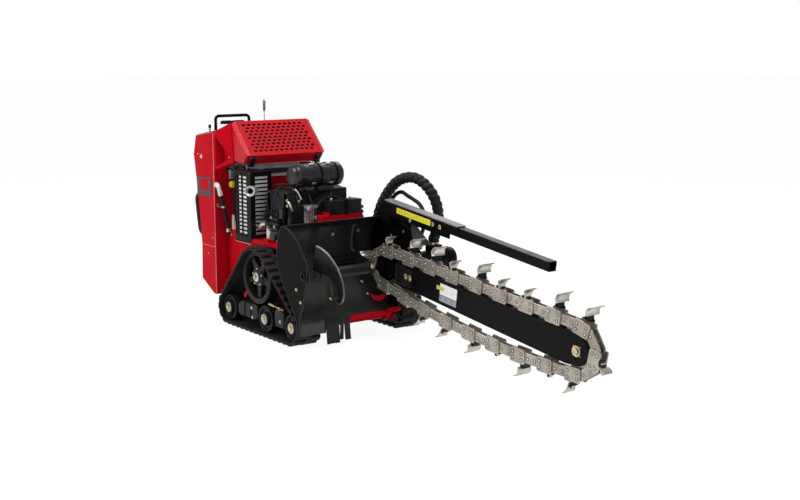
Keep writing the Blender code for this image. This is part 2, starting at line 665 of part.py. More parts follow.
# ---------------------------------------------------------------- engine bay
def make_engine():
    floor = DECK_BOTTOM + DECK_THICKNESS + TOUCH
    shoulder = floor + (ENGINE_TOP - floor) * 0.7
    fan_radius = (ENGINE_TOP - floor) * 0.46
    fan_z = (ENGINE_TOP + floor) / 2
    block = [
        box((-0.565, -0.300), (-0.190, 0.190), (floor, shoulder)),
        box((-0.560, -0.320), (-0.150, 0.150), (shoulder - 0.010, ENGINE_TOP)),
        rod((-0.310, 0, fan_z), (-0.262, 0, fan_z), fan_radius, 32),
        box((-0.470, -0.290), (-0.262, -0.185), (floor + 0.028, ENGINE_TOP)),
    ]
    fin_pitch = (shoulder - floor) / 7
    for side in (-1, 1):
        for i in range(4):
            z = floor + (i + 2.4) * fin_pitch
            block.append(box((-0.455, -0.350), (side * 0.180, side * 0.290), (z, z + 0.012)))
    part("engine_block", "black_paint", block)
    # muffler inside its slotted guard
    guard_x, guard_y, guard_z = (-0.736, -0.560), (-0.335, -0.200), (floor, 0.880)
    middle = ((guard_x[0] + guard_x[1]) / 2, (guard_y[0] + guard_y[1]) / 2 + 0.002)
    corner = Vector((guard_x[1], guard_y[0], 0.776))
    way = Vector((1, -1, 0)).normalized()
    outlet = rod(corner - way * 0.060, corner + way * 0.022, 0.030, 24)
    pipe_bore = rod(corner - way * 0.040, corner + way * 0.040, 0.021, 20)
    body = rod((*middle, floor + 0.006), (*middle, 0.862), 0.052, 28)
    foot = box((middle[0] - 0.03, middle[0] + 0.03), (middle[1] - 0.02, middle[1] + 0.02), (floor, floor + 0.02))
    part("muffler", "chrome", [body, foot, outlet], [pipe_bore])
    outer = box(guard_x, guard_y, guard_z)
    hollow = box((guard_x[0] + SHEET, guard_x[1] - SHEET), (guard_y[0] + SHEET, guard_y[1] + 0.05),
                 (floor - 0.05, guard_z[1] - SHEET))
    slots = []
    rows = 15
    pitch = (guard_z[1] - guard_z[0] - 0.040) / rows
    for i in range(rows):
        z = guard_z[0] + 0.022 + i * pitch
        for x in (guard_x[0] + 0.022, guard_x[0] + 0.080):
            slots.append(box((x, x + 0.046), (guard_y[0] - 0.01, guard_y[0] + 0.02), (z, z + pitch * 0.62)))
        slots.append(box((guard_x[1] - 0.02, guard_x[1] + 0.01), (guard_y[0] + 0.028, guard_y[1] - 0.022),
                         (z, z + pitch * 0.62)))
    hole = rod(corner - way * 0.060, corner + way * 0.060, 0.031 + RUN, 24)
    part("muffler_guard", "black_paint", [outer], [hollow, joined(slots), hole])
    # air cleaner canister across the front of the engine
    x, radius = -0.320, 0.066
    z = ENGINE_TOP + radius + 0.019
    canister = rod((x, -0.195, z), (x, 0.096, z), radius, 32)
    cap = rod((x, -0.222, z), (x, -0.194, z), radius - 0.020, 32, end_radius=radius - 0.0005)
    band = rod((x, -0.110, z), (x, -0.098, z), radius + 0.003, 32)
    second = rod((x, 0.000, z), (x, 0.012, z), radius + 0.003, 32)
    bracket = box((x - 0.030, x + 0.020), (-0.050, 0.050), (ENGINE_TOP + TOUCH, z - 0.05))
    part("air_cleaner", "black_plastic", [canister, cap, band, second, bracket])
    part("battery", "black_plastic",
         [box((-0.246, -0.178), (-0.060, 0.155), (BATTERY_FLOOR + TOUCH, 0.735)), box((-0.236, -0.216), (0.10, 0.12), (0.73, 0.745)),
          box((-0.236, -0.216), (-0.03, -0.01), (0.73, 0.745))])
    part("fuel_tank", "black_plastic", [box((-0.86, -0.60), (0.10, 0.325), (floor, 0.76)),
                                        rod((-0.73, 0.21, 0.755), (-0.73, 0.21, 0.785), 0.035, 24)])
    part("hydraulic_pump", "grey_steel",
         [box((-0.700, -0.5653), (-0.05, 0.05), (0.540, 0.640)), rod((-0.80, 0, 0.59), (-0.69, 0, 0.59), 0.045, 24)])
    part("dipstick", "yellow", [rod((-0.953, -0.232, floor), (-0.953, -0.232, 0.757), 0.006, 12),
                                rod((-0.953, -0.247, 0.772), (-0.953, -0.217, 0.772), 0.020, 20)])
    hose = [(TOWER_FRONT + TOUCH, -0.318, 0.762), (-0.972, -0.318, 0.762), (-0.963, -0.314, 0.735),
            (-0.961, -0.306, 0.69), (-0.960, -0.292, 0.64), (-0.960, -0.277, 0.58), (-0.960, -0.265, 0.52),
            (-0.960, -0.2625, 0.490), (-0.960, -0.2600, 0.4775), (-0.960, -0.2560, 0.474),
            (-0.960, -CHASSIS_HALF - TOUCH, 0.474)]
    part("tower_hose", "rubber", [tube(hose, 0.0115)])
    part("oil_cooler", "aluminium", [box((-0.9892, -0.9735), (-0.24, 0.24), (0.80, 1.04))])


# ---------------------------------------------------------------- digging head
SHELL_LINE = [
    (0.076, 0.072), (0.076, 0.150), (0.030, 0.229), (-0.045, 0.329), (-0.090, 0.400), (-0.106, 0.460),
    (-0.106, 0.530), (-0.090, 0.590), (-0.060, 0.630), (-0.020, 0.650),
]


def make_head():
    # SHELL_LINE is the inner face; the sheet grows to the rear of it
    outside = offset(SHELL_LINE, SHELL_THICKNESS)
    shell = slab(SHELL_LINE + outside[::-1], (SHELL_RIGHT + TOUCH, HEAD_LEFT - TOUCH))
    notch = box((0.0, 0.2), (-0.262, 0.3), (0.0, 0.124))
    ledge = box((-0.104, -0.055), (-0.220, 0.050), (0.438, 0.444))
    in_head("head_shell", "black_paint", [shell, ledge], [notch])
    end_line = [
        (0.076, 0.072), *outside[1:-1], (-0.066, 0.640), (-0.022, 0.644), (0.043, 0.613), (0.096, 0.574),
        (0.141, 0.521), (0.180, 0.474), (0.184, 0.440), (0.150, 0.300), (0.105, 0.180), (0.090, 0.072),
    ]
    shaft_hole = circle((HEAD_SHAFT_X, HEAD_SHAFT_Z), 0.012 + RUN, 20)
    in_head("right_end_plate", "black_paint", [slab(end_line, (SHELL_RIGHT - 0.006, SHELL_RIGHT), [shaft_hole])])
    left_line = [
        (0.076, 0.126), *outside[1:-1], (-0.066, 0.648), (-0.010, 0.700), (0.036, 0.742), (0.060, 0.742),
        (0.200, 0.690), (0.275, 0.640), (0.300, 0.560), (0.345, 0.470), (0.385, 0.420), (0.385, 0.350),
        (0.300, 0.300), (0.200, 0.250), (0.110, 0.126),
    ]
    plate = slab(left_line, (HEAD_LEFT, HEAD_LEFT + 0.010), [shaft_hole])
    flange = slab([(0.270, 0.655), (0.424, 0.555), (0.311, 0.536), (0.285, 0.560)], (HEAD_LEFT - 0.006, HEAD_LEFT + 0.004))
    in_head("left_side_plate", "black_paint", [plate, flange])
    # red carrier: two ears that clasp the cross tube, joined behind the shell
    behind = offset(SHELL_LINE, SHELL_THICKNESS + TOUCH)
    ears = []
    for side in (-1, 1):
        ring = arc((PIVOT_X, PIVOT_Z), 0.040, 200, 340, 8)
        ear = [*ring, behind[1], behind[2], (behind[2][0] - 0.030, behind[2][1] + 0.036), (-0.070, 0.235)]
        ears.append(slab(ear, (side * 0.190, side * 0.205)))
    tie = [behind[1], behind[2], (behind[2][0] - 0.014, behind[2][1] + 0.003), (behind[1][0] - 0.016, 0.146)]
    ears.append(slab(tie, (-0.195, 0.195)))
    eye_lugs = [slab([behind[2], (behind[2][0] - 0.03, behind[2][1] + 0.036), (-0.045, 0.272), (-0.045, 0.235),
                      (-0.01, 0.21), (behind[2][0] - 0.012, behind[2][1] - 0.01)], (side * 0.034, side * 0.046))
                for side in (-1, 1)]
    pivot_hole = rod((PIVOT_X, -0.3, PIVOT_Z), (PIVOT_X, 0.3, PIVOT_Z), PIVOT_RADIUS + RUN, 28)
    in_head("head_carrier", "red_paint", [*ears, *eye_lugs], [pivot_hole])
    in_head("rubber_flap", "rubber", [
        box((0.0763, 0.0813), (-0.262, -0.180), (0.012, 0.146)), box((0.0763, 0.0813), (-0.190, -0.112), (0.110, 0.146)),
        box((0.0763, 0.0813), (-0.172, -0.112), (0.022, 0.146))])


def make_auger():
    centre = Vector((HEAD_SHAFT_X, 0, HEAD_SHAFT_Z))
    right, left = -0.404, AUGER_INNER
    steps = 24
    bm = bmesh.new()
    rows = []
    for i in range(steps + 1):
        angle = math.radians(FLIGHT_START + (FLIGHT_END - FLIGHT_START) * i / steps)
        y = right + 0.004 + AUGER_PITCH * angle / (2 * math.pi)
        spoke = Vector((math.sin(angle), 0, math.cos(angle)))
        row = []
        for radius in (AUGER_TUBE_RADIUS - 0.006, AUGER_RADIUS):
            for side in (-0.003, 0.003):
                row.append(bm.verts.new(centre + spoke * radius + Vector((0, y + side, 0))))
        rows.append(row)
    for (a, b, c, d), (e, f, g, h) in zip(rows, rows[1:]):
        for quad in ((a, c, g, e), (b, f, h, d), (a, e, f, b), (c, d, h, g)):
            bm.faces.new(quad)
    for (a, b, c, d), order in ((rows[0], 1), (rows[-1], -1)):
        bm.faces.new((a, b, d, c)[::order])
    bmesh.ops.recalc_face_normals(bm, faces=bm.faces)
    flight = from_bmesh(bm, smooth=True)
    core = rod(centre + Vector((0, right, 0)), centre + Vector((0, left, 0)), AUGER_TUBE_RADIUS, 24)
    stub = rod(centre + Vector((0, SHELL_RIGHT - 0.005, 0)), centre + Vector((0, right + 0.01, 0)), 0.012, 20)
    in_head("auger", "black_paint", [core, flight, stub], pivot=centre)


def sprocket(radius, teeth, depth, bore, half):
    """A toothed disc about the origin, in X and Z."""
    outline = []
    for i in range(teeth):
        start = 360 * i / teeth
        outline += arc((0, 0), radius, start - 9, start + 9, 1)
        outline += arc((0, 0), radius - depth, start + 180 / teeth - 6, start + 180 / teeth + 6, 1)
    return slab(outline, (-half, half), [circle((0, 0), bore, 20)] if bore else ())


def chain_line(x):
    """Height of the chain's pins above the boom's middle on its straight run."""
    return HEAD_PITCH_RADIUS + (NOSE_PITCH_RADIUS - HEAD_PITCH_RADIUS) * x / BOOM_LENGTH


def make_boom():
    half = CHAIN_INNER - 0.0015
    head_radius = HEAD_PITCH_RADIUS - PIN_RADIUS - 0.003
    toothed = sprocket(head_radius, 6, 0.014, 0, half)
    shaft = rod((0, AUGER_INNER + TOUCH - BOOM_Y, 0), (0, HEAD_LEFT + 0.0099 - BOOM_Y, 0), 0.012, 20)
    hub = rod((0, -0.040, 0), (0, 0.060, 0), 0.030, 24)
    part("head_sprocket", "grey_steel", [toothed, shaft, hub], parent=BOOM_AXIS)
    cheek = 0.069
    edge = BIG_LINK_HALF + 0.0008
    end = BOOM_LENGTH - 0.07
    nose = (BOOM_LENGTH, 0)
    outline = [
        (BOOM_ROOT_X, -(chain_line(BOOM_ROOT_X) - edge)), (end, -(chain_line(end) - edge)),
        *arc(nose, cheek, -75, 75, 12), (end, chain_line(end) - edge), (BOOM_ROOT_X, chain_line(BOOM_ROOT_X) - edge),
    ]
    bolt_radius = 0.014
    plate = slab(outline, (-BOOM_HALF_WIDTH, BOOM_HALF_WIDTH), [circle(nose, bolt_radius + TOUCH * 2, 20)])
    nose_radius = NOSE_PITCH_RADIUS - PIN_RADIUS - 0.003
    slot = rod((BOOM_LENGTH, -CHAIN_INNER, 0), (BOOM_LENGTH, CHAIN_INNER, 0), nose_radius + 0.004, 28)
    part("boom", "black_paint", [plate], [slot], parent=BOOM_AXIS)
    toothed = sprocket(nose_radius, 8, 0.014, bolt_radius + RUN, half)
    toothed.data.transform(Matrix.Translation((BOOM_LENGTH, 0, 0)))
    part("nose_sprocket", "grey_steel", [toothed], pivot=(BOOM_LENGTH, 0, 0), parent=BOOM_AXIS)
    face = BOOM_HALF_WIDTH + TOUCH
    bolt = [
        rod((BOOM_LENGTH, -face - 0.010, 0), (BOOM_LENGTH, face + 0.010, 0), bolt_radius, 20),
        rod((BOOM_LENGTH, -face - 0.004, 0), (BOOM_LENGTH, -face, 0), 0.026, 28),
        rod((BOOM_LENGTH, -face - 0.012, 0), (BOOM_LENGTH, -face - 0.003, 0), 0.018, 6),
        rod((BOOM_LENGTH, face, 0), (BOOM_LENGTH, face + 0.012, 0), 0.018, 6),
    ]
    part("nose_bolt", "zinc", bolt, parent=BOOM_AXIS)
    reach = HEAD_LEFT - TOUCH - BOOM_Y
    mount = [
        box((BOOM_ROOT_X + 0.005, BOOM_ROOT_X + 0.105), (BOOM_HALF_WIDTH + TOUCH, reach), (-0.040, 0.040)),
        box((BOOM_ROOT_X + 0.035, BOOM_ROOT_X + 0.140), (BOOM_HALF_WIDTH + TOUCH, BOOM_HALF_WIDTH + 0.012),
            (-0.046, 0.046)),
    ]
    part("boom_mount", "black_paint", mount, parent=BOOM_AXIS)


def chain_pins():
    """The chain's pins about the two sprockets, evenly spaced along its loop."""
    slope = math.asin((NOSE_PITCH_RADIUS - HEAD_PITCH_RADIUS) / BOOM_LENGTH)
    top_start = (-HEAD_PITCH_RADIUS * math.sin(slope), HEAD_PITCH_RADIUS * math.cos(slope))
    line = [Vector(top_start)]
    nose_top = math.degrees(math.pi / 2 + slope)
    line += [Vector(p) for p in arc((BOOM_LENGTH, 0), NOSE_PITCH_RADIUS, nose_top, -nose_top, 90)]
    low_start = line[-1]
    low_end = Vector((top_start[0], -top_start[1]))
    for i in range(1, 60):
        share = i / 60
        sag = CHAIN_SAG * 4 * share * (1 - share)
        line.append(low_start.lerp(low_end, share) - Vector((0, sag)))
    line += [Vector(p) for p in arc((0, 0), HEAD_PITCH_RADIUS, -nose_top, nose_top - 360, 80)]
    lengths = [(b - a).length for a, b in zip(line, line[1:])]
    count = 2 * round(sum(lengths) / LINK_PITCH / 2)
    pitch = sum(lengths) / count
    pins = []
    for i in range(count):
        distance = i * pitch
        for here, there, gap in zip(line, line[1:], lengths):
            if distance <= gap:
                pins.append(here.lerp(there, distance / gap))
                break
            distance -= gap
    return pins


def make_chain():
    pins = chain_pins()
    plates, crossings = [], []
    for i, pin in enumerate(pins):
        other = pins[(i + 1) % len(pins)]
        big = i % 2 == 0
        way = (other - pin).normalized()
        middle = (pin + other) / 2
        turn = Matrix.Translation((middle.x, 0, middle.y)) @ Matrix.Rotation(-math.atan2(way.y, way.x), 4, "Y")
        reach = (other - pin).length / 2 + (0.0068 if big else 0.0125)
        height = BIG_LINK_HALF if big else SMALL_LINK_HALF
        inner = CHAIN_INNER + (LINK_PLATE - 0.0006 if big else 0)
        for side in (-1, 1):
            plate = box((-reach, reach), (side * inner, side * (inner + LINK_PLATE)), (-height, height))
            plate.data.transform(turn)
            plates.append(plate)
        if big:
            crossings.append(rod((pin.x, -CHAIN_INNER - 0.003, pin.y), (pin.x, CHAIN_INNER + 0.003, pin.y), PIN_RADIUS, 6))
        if big:
            side = 1 if (i // 2) % 2 else -1
            face = inner + LINK_PLATE
            bracket = box((-0.022, 0.024), (side * (face - 0.002), side * (face + 0.012)), (0.008, 0.052))
            blade = box((0.014, 0.024), (side * (face - 0.030), side * CUP_REACH), (0.042, BIG_LINK_HALF + CUP_HEIGHT))
            for solid in (bracket, blade):
                solid.data.transform(turn)
                crossings.append(solid)
    chain = part("digging_chain", "grey_steel", [joined(plates), joined(crossings)], parent=BOOM_AXIS)
    chain.modifiers[0].use_self = True


def make_bar():
    """Square tube beside the boom, with the channel that carries it."""
    frame = make_empty("bar_axis", (BAR_REAR_X - PIVOT_X, 0, BAR_REAR_Z - PIVOT_Z), (0, BAR_DROP, 0), HEAD_PIVOT)
    half = BAR_SIZE / 2
    tube_outside = box((0.060, BAR_LENGTH), (BAR_Y - half, BAR_Y + half), (-BAR_SIZE, 0))
    tube_inside = box((0.08, BAR_LENGTH + 0.01), (BAR_Y - half + 0.005, BAR_Y + half - 0.005),
                      (-BAR_SIZE + 0.005, -0.005))
    part("safety_bar", "black_paint", [tube_outside], [tube_inside], parent=frame)
    wall = 0.005
    near = BAR_Y - half - TOUCH
    web = slab([(0.055, 0.002), (-0.010, -0.072), (0.680, -0.072), (0.680, 0.002)], (near - wall, near))
    cap = box((0.055, 0.665), (near - wall, BAR_Y + half), (TOUCH, 0.005))
    notch = box((0.615, 0.70), (near - 0.02, near + 0.01), (-0.10, -0.035))
    leg = box((0.02, 0.100), (BAR_Y - 0.020, HEAD_LEFT - TOUCH), (-0.110, -BAR_SIZE - TOUCH))
    floor = box((0.005, 0.300), (near - wall, BAR_Y + half - 0.006), (-BAR_SIZE - 0.006, -BAR_SIZE - TOUCH))
    part("bar_bracket", "black_paint", [web, cap, floor, leg], [notch], parent=frame)


def make_motor():
    x, z = HEAD_SHAFT_X, HEAD_SHAFT_Z
    start = HEAD_LEFT + 0.010 + TOUCH
    solids = [
        rod((x, start, z), (x, start + 0.020, z), 0.080, 32),
        rod((x, start + 0.010, z), (x, MOTOR_END - 0.050, z), MOTOR_RADIUS, 32),
        rod((x, MOTOR_END - 0.060, z), (x, MOTOR_END - 0.012, z), 0.060, 32),
        rod((x, MOTOR_END - 0.013, z), (x, MOTOR_END, z), 0.060, 32, end_radius=0.048),
        box((x - 0.035, x + 0.035), (PORT_Y - 0.035, PORT_Y + 0.035), (z + 0.040, z + PORT_HEIGHT)),
    ]
    in_head("drive_motor", "black_paint", solids)


def make_hoses():
    """The guarded hose pair that arches from the bulkhead to the drive motor, and a thinner one inside its arch."""
    start_x = BULKHEAD_X + TOUCH + HOSE_GUARD_RADIUS
    outer = [
        (start_x, 0.235, 0.560), (start_x, 0.237, 0.615), (-0.126, 0.242, 0.668), (-0.100, 0.250, 0.725),
        (-0.062, 0.262, 0.783), (-0.012, 0.276, 0.834), (0.050, 0.294, 0.862), (0.110, 0.314, 0.863),
        (0.165, 0.334, 0.834), (0.204, 0.355, 0.783), (0.220, 0.375, 0.722), (0.214, 0.391, 0.655),
        (0.193, 0.403, 0.592), (0.160, 0.413, 0.548), (HEAD_SHAFT_X, PORT_Y, 0.525),
        (HEAD_SHAFT_X, PORT_Y, HEAD_SHAFT_Z + PORT_HEIGHT + TOUCH),
    ]
    hose = tube(outer, HOSE_GUARD_RADIUS, 3)
    part("hose_guard", "rubber", [hose])
    inner = [(BULKHEAD_X + TOUCH, 0.290, 0.600), (-0.152, 0.290, 0.600), (-0.130, 0.290, 0.632),
             (-0.103, 0.296, 0.704), (-0.062, 0.306, 0.757), (-0.008, 0.308, 0.776), (0.052, 0.306, 0.760),
             (0.112, 0.302, 0.745), (0.168, 0.299, 0.724), (0.205, 0.297, 0.680), (0.210, 0.296, 0.622),
             (0.187, 0.296, 0.566), (0.158, 0.296, 0.524), (HEAD_SHAFT_X, 0.296, 0.490),
             (HEAD_SHAFT_X, 0.296, HEAD_SHAFT_Z + MOTOR_RADIUS + TOUCH)]
    part("drain_hose", "rubber", [tube(inner, 0.011)])


def centre_on_floor():
    """Move the machine so that its floor box stands on the origin."""
    bpy.context.view_layer.update()
    graph = bpy.context.evaluated_depsgraph_get()
    low, high = Vector((9, 9, 9)), Vector((-9, -9, -9))
    for obj in PARTS.objects:
        seen = obj.evaluated_get(graph)
        for vertex in seen.data.vertices:
            place = seen.matrix_world @ vertex.co
            low = Vector(map(min, low, place))
            high = Vector(map(max, high, place))
    MACHINE.location = (-(low.x + high.x) / 2, -(low.y + high.y) / 2, -low.z)


make_track("right", -1)
make_track("left", 1)
make_chassis()
make_lift_cylinder()
make_tower()
make_controls()
make_hood()
make_engine()
make_head()
make_auger()
make_boom()
make_chain()
make_bar()
make_motor()
make_hoses()
centre_on_floor()
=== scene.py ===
import json
import math

import bmesh
import bpy
import numpy as np
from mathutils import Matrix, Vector


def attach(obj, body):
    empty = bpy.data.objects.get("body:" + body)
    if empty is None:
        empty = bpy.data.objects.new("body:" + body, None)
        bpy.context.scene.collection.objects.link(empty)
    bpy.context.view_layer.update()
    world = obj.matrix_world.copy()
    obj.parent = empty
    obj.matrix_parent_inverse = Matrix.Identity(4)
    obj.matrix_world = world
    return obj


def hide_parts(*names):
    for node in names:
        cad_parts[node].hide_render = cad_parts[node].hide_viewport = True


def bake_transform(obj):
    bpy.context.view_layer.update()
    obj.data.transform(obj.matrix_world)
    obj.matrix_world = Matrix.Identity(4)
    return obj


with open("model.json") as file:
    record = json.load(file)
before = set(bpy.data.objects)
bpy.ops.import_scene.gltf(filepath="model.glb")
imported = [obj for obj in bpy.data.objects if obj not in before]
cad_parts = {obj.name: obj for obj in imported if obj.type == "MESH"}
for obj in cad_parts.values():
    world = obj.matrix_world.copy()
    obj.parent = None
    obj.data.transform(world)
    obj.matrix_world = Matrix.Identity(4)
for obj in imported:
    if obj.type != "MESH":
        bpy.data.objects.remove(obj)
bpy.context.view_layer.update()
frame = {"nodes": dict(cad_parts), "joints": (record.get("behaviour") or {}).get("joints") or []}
nodes = frame["nodes"]
print("frame loaded:", len(nodes), "nodes")

jointPlace = {j["name"]: np.array(j["pos_m"], float) for j in frame["joints"] if "pos_m" in j}
shift = jointPlace["head_pitch"] - np.array([-0.034, 0.0, 0.097])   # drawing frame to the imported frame
headAxis = (0.145, 0.407)    # x and z of the head shaft, where the boom starts

# the camera
view = {"lens": 53.1, "place": (5.191, -3.622, 1.552), "azimuth": 53.0, "pitch": 9.6}
backwards = Vector((
    math.sin(math.radians(view["azimuth"])) * math.cos(math.radians(view["pitch"])),
    -math.cos(math.radians(view["azimuth"])) * math.cos(math.radians(view["pitch"])),
    math.sin(math.radians(view["pitch"])),
))
camera = bpy.data.objects.new("camera", bpy.data.cameras.new("camera"))
camera.data.lens = view["lens"]
camera.data.sensor_width = 36
camera.location = Vector(view["place"]) + Vector(shift)
camera.rotation_euler = (-backwards).to_track_quat("-Z", "Y").to_euler()
bpy.context.scene.collection.objects.link(camera)
bpy.context.scene.camera = camera


# shapes: every maker returns (points, faces)
def unit(v):
    v = np.asarray(v, float)
    return v / np.maximum(np.linalg.norm(v, axis=-1, keepdims=True), 1e-12)


def gridFaces(rows, columns, wrapRows=False, wrapColumns=False):
    r = np.arange(rows if wrapRows else rows - 1)[:, None]
    c = np.arange(columns if wrapColumns else columns - 1)[None, :]
    nextR, nextC = (r + 1) % rows, (c + 1) % columns
    quads = np.stack([r * columns + c, r * columns + nextC, nextR * columns + nextC, nextR * columns + c],
        -1)
    return quads.reshape(-1, 4).tolist()


# faces of a row of rings; unless the row closes on itself, each end has a cap
def tubeFaces(rings, sides, wrap=False):
    caps = [] if wrap else [list(range(sides)), list(range((rings - 1) * sides, rings * sides))]
    return gridFaces(rings, sides, wrap, True) + caps


def merge(shapes):
    points, faces, start = [], [], 0
    for p, f in shapes:
        points.append(np.asarray(p, float))
        faces += [[start + i for i in face] for face in f]
        start += len(p)
    return np.concatenate(points), faces


def joined(shapes):
    return merge(shapes) if isinstance(shapes, list) else shapes


# profile carried along a path: point = path + u * side + v * top, with top kept close to one direction
def sweep(path, profile, wrap=False, top=(0, 1, 0)):
    path, profile = np.asarray(path, float), np.asarray(profile, float)
    ahead = np.roll(path, -1, 0) - np.roll(path, 1, 0)
    if not wrap:
        ahead[0], ahead[-1] = path[1] - path[0], path[-1] - path[-2]
    way = unit(ahead)
    topWay = unit(np.asarray(top, float) - (way @ np.asarray(top, float))[:, None] * way)
    sideWay = np.cross(topWay, way)
    points = path[:, None] + profile[:, :1] * sideWay[:, None] + profile[:, 1:] * topWay[:, None]
    return points.reshape(-1, 3), tubeFaces(len(path), len(profile), wrap)


def ringProfile(radius, sides=12):
    a = np.arange(sides) * 2 * np.pi / sides
    return np.stack([radius * np.cos(a), radius * np.sin(a)], -1)


# smooth curve through corner points: Catmull-Rom, four neighbours weighted by cubic terms
def curveThrough(corners, per=8):
    c = np.asarray(corners, float)
    c = np.vstack([2 * c[0] - c[1], c, 2 * c[-1] - c[-2]])
    t = (np.arange(per) / per)[None, :, None]
    a, b, d, e = (c[i:len(c) - 3 + i][:, None] for i in range(4))
    run = 0.5 * (2 * b + (d - a) * t + (2 * a - 5 * b + 4 * d - e) * t ** 2 + (3 * b - a - 3 * d + e)
        * t ** 3)
    return np.vstack([run.reshape(-1, c.shape[1]), c[-2]])


# profile of (radius, height) turned about an axis: point = centre + radius * (cos, sin) + height * axis
def lathe(profile, centre, axis, steps=28, wrap=False, phase=0.0):
    w = unit(axis)
    u = unit(np.cross([0, 0, 1.0] if abs(w[2]) < 0.9 else [1.0, 0, 0], w))
    a = phase + np.arange(steps) * 2 * np.pi / steps
    ring = np.cos(a)[:, None] * u + np.sin(a)[:, None] * np.cross(w, u)
    p = np.asarray(profile, float)
    points = np.asarray(centre, float) + p[:, :1, None] * ring[None] + (p[:, 1:, None] * w)
    return points.reshape(-1, 3), tubeFaces(len(p), steps, wrap)


# flat outline in (a, b) pulled along c, its rims drawn in by the bevel along the mitre of each corner
def prism(outline, low, high, bevel=0.0008, a=(1, 0, 0), b=(0, 0, 1), c=(0, 1, 0), at=(0, 0, 0)):
    o = np.asarray(outline, float)
    area = np.sum(o[:, 0] * np.roll(o[:, 1], -1) - np.roll(o[:, 0], -1) * o[:, 1])
    before, after = unit(o - np.roll(o, 1, 0)), unit(np.roll(o, -1, 0) - o)
    left = [np.stack([-d[:, 1], d[:, 0]], -1) * np.sign(area) for d in (before, after)]
    mitre = unit(left[0] + left[1])
    inset = o + mitre * bevel / np.maximum(np.sum(mitre * left[0], -1, keepdims=True), 0.5)
    rings = [(inset, low), (o, low + bevel), (o, high - bevel), (inset, high)]
    a, b, c, at = (np.asarray(v, float) for v in (a, b, c, at))
    points = np.concatenate([at + r[:, :1] * a + r[:, 1:] * b + h * c for r, h in rings])
    return points, tubeFaces(4, len(o))


level = {"b": (0, 1, 0), "c": (0, 0, 1)}    # for an outline drawn in plan and pulled upwards


def block(x, y, z, bevel=0.002):
    return prism([(x[0], z[0]), (x[1], z[0]), (x[1], z[1]), (x[0], z[1])], min(y), max(y), bevel)


def slab(quad, thickness):
    sides = [[0, 1, 2, 3], [7, 6, 5, 4], [0, 4, 5, 1], [1, 5, 6, 2], [2, 6, 7, 3], [3, 7, 4, 0]]
    return np.concatenate([quad, quad + thickness]), sides


def roundedOutline(width, height, radius, steps=4, centre=(0, 0)):
    a = np.radians(np.linspace(0, 90, steps + 1))
    quarter = np.stack([np.cos(a), np.sin(a)], -1) * radius
    turns = [np.array([[math.cos(t), -math.sin(t)], [math.sin(t), math.cos(t)]])
             for t in np.radians([0, 90, 180, 270])]
    corners = [(1, 1), (-1, 1), (-1, -1), (1, -1)]
    rows = [quarter @ t.T + np.array([sx * (width / 2 - radius), sy * (height / 2 - radius)])
            for t, (sx, sy) in zip(turns, corners)]
    return np.concatenate(rows) + np.asarray(centre)


def arcPoints(centre, radius, start, end, steps):
    a = np.radians(np.linspace(start, end, steps + 1))
    return np.stack([centre[0] + radius * np.cos(a), centre[1] + radius * np.sin(a)], -1)


def rod(path, radius, sides=12, top=(0, 1, 0), wrap=False):
    return sweep(path, ringProfile(radius, sides), wrap, top)


def tubeAlong(corners, radius, per=6, sides=12, top=(0, 1, 0)):
    return rod(curveThrough(corners, per), radius, sides, top)


def onCircle(x, y, z, radius, degrees):
    return [np.array([x + radius * math.cos(a), y, z + radius * math.sin(a)])
            for a in np.radians(degrees)]


# points at even steps along a line, and how far along it each one is
def resampled(line, count, closed=False):
    travelled = np.concatenate([[0], np.cumsum(np.linalg.norm(np.diff(line, axis=0), axis=1))])
    at = np.linspace(0, travelled[-1], count, endpoint=not closed)
    return np.stack([np.interp(at, travelled, column) for column in line.T], -1), at


# washer, hexagon head and a domed crown, stacked along the axis
def bolt(centre, axis, size=0.008, washer=True):
    s = size
    parts = [lathe([(0.86 * s, 0), (s, 0.12 * s), (s, 0.6 * s), (0.86 * s, 0.72 * s),
        (0.1 * s, 0.74 * s)], centre, axis, 6)]
    if washer:
        parts.append(lathe([(1.45 * s, -0.1 * s), (1.5 * s, 0), (1.5 * s, 0.14 * s), (1.4 * s, 0.2 * s),
            (0.5 * s, 0.2 * s)], centre, axis, 16))
    return merge(parts)


def dome(centre, axis, size=0.006):
    s = size
    return lathe([(s, -0.2 * s), (s, 0.15 * s), (0.9 * s, 0.4 * s), (0.6 * s, 0.6 * s),
        (0.15 * s, 0.68 * s)], centre, axis, 10)


# template placed many times: point = place + frame matrix applied to the template's point
def copies(shapes, places, frames):
    p, f = joined(shapes)
    points = np.einsum("kij,nj->kni", np.asarray(frames, float), p) + np.asarray(places, float)[:, None]
    steps = np.arange(len(places)) * len(p)
    faces = [[i + s for i in face] for s in steps.tolist() for face in f]
    return points.reshape(-1, 3), faces


# boom and bar drawings are level; this drops their nose about Y and moves their zero
def tilted(shapes, origin, drop):
    p, f = joined(shapes)
    c, s = math.cos(math.radians(drop)), math.sin(math.radians(drop))
    turn = np.array([[c, 0, s], [0, 1, 0], [-s, 0, c]])
    return p @ turn.T + np.asarray(origin), f


def onBoom(shape):
    return tilted(shape, (headAxis[0], 0.08, headAxis[1]), 6.5)


def onBar(shape):
    return tilted(shape, (0.045, 0.0, 0.76), 6.96)


def piece(name, shapes, finish, body="chassis", replaces=(), angle=38):
    points, faces = joined(shapes)
    mesh = bpy.data.meshes.new(name)
    mesh.from_pydata((points + shift).tolist(), [], faces)
    bm = bmesh.new()
    bm.from_mesh(mesh)
    bmesh.ops.recalc_face_normals(bm, faces=bm.faces)
    bm.to_mesh(mesh)
    bm.free()
    mesh.shade_smooth()
    mesh.set_sharp_from_angle(angle=math.radians(angle))
    mesh.materials.append(finishes[finish][0])
    obj = bpy.data.objects.new(name, mesh)
    bpy.context.scene.collection.objects.link(obj)
    if body:
        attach(obj, body)
    if replaces:
        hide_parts(*replaces)
    return obj


# the finishes
finishes = {}


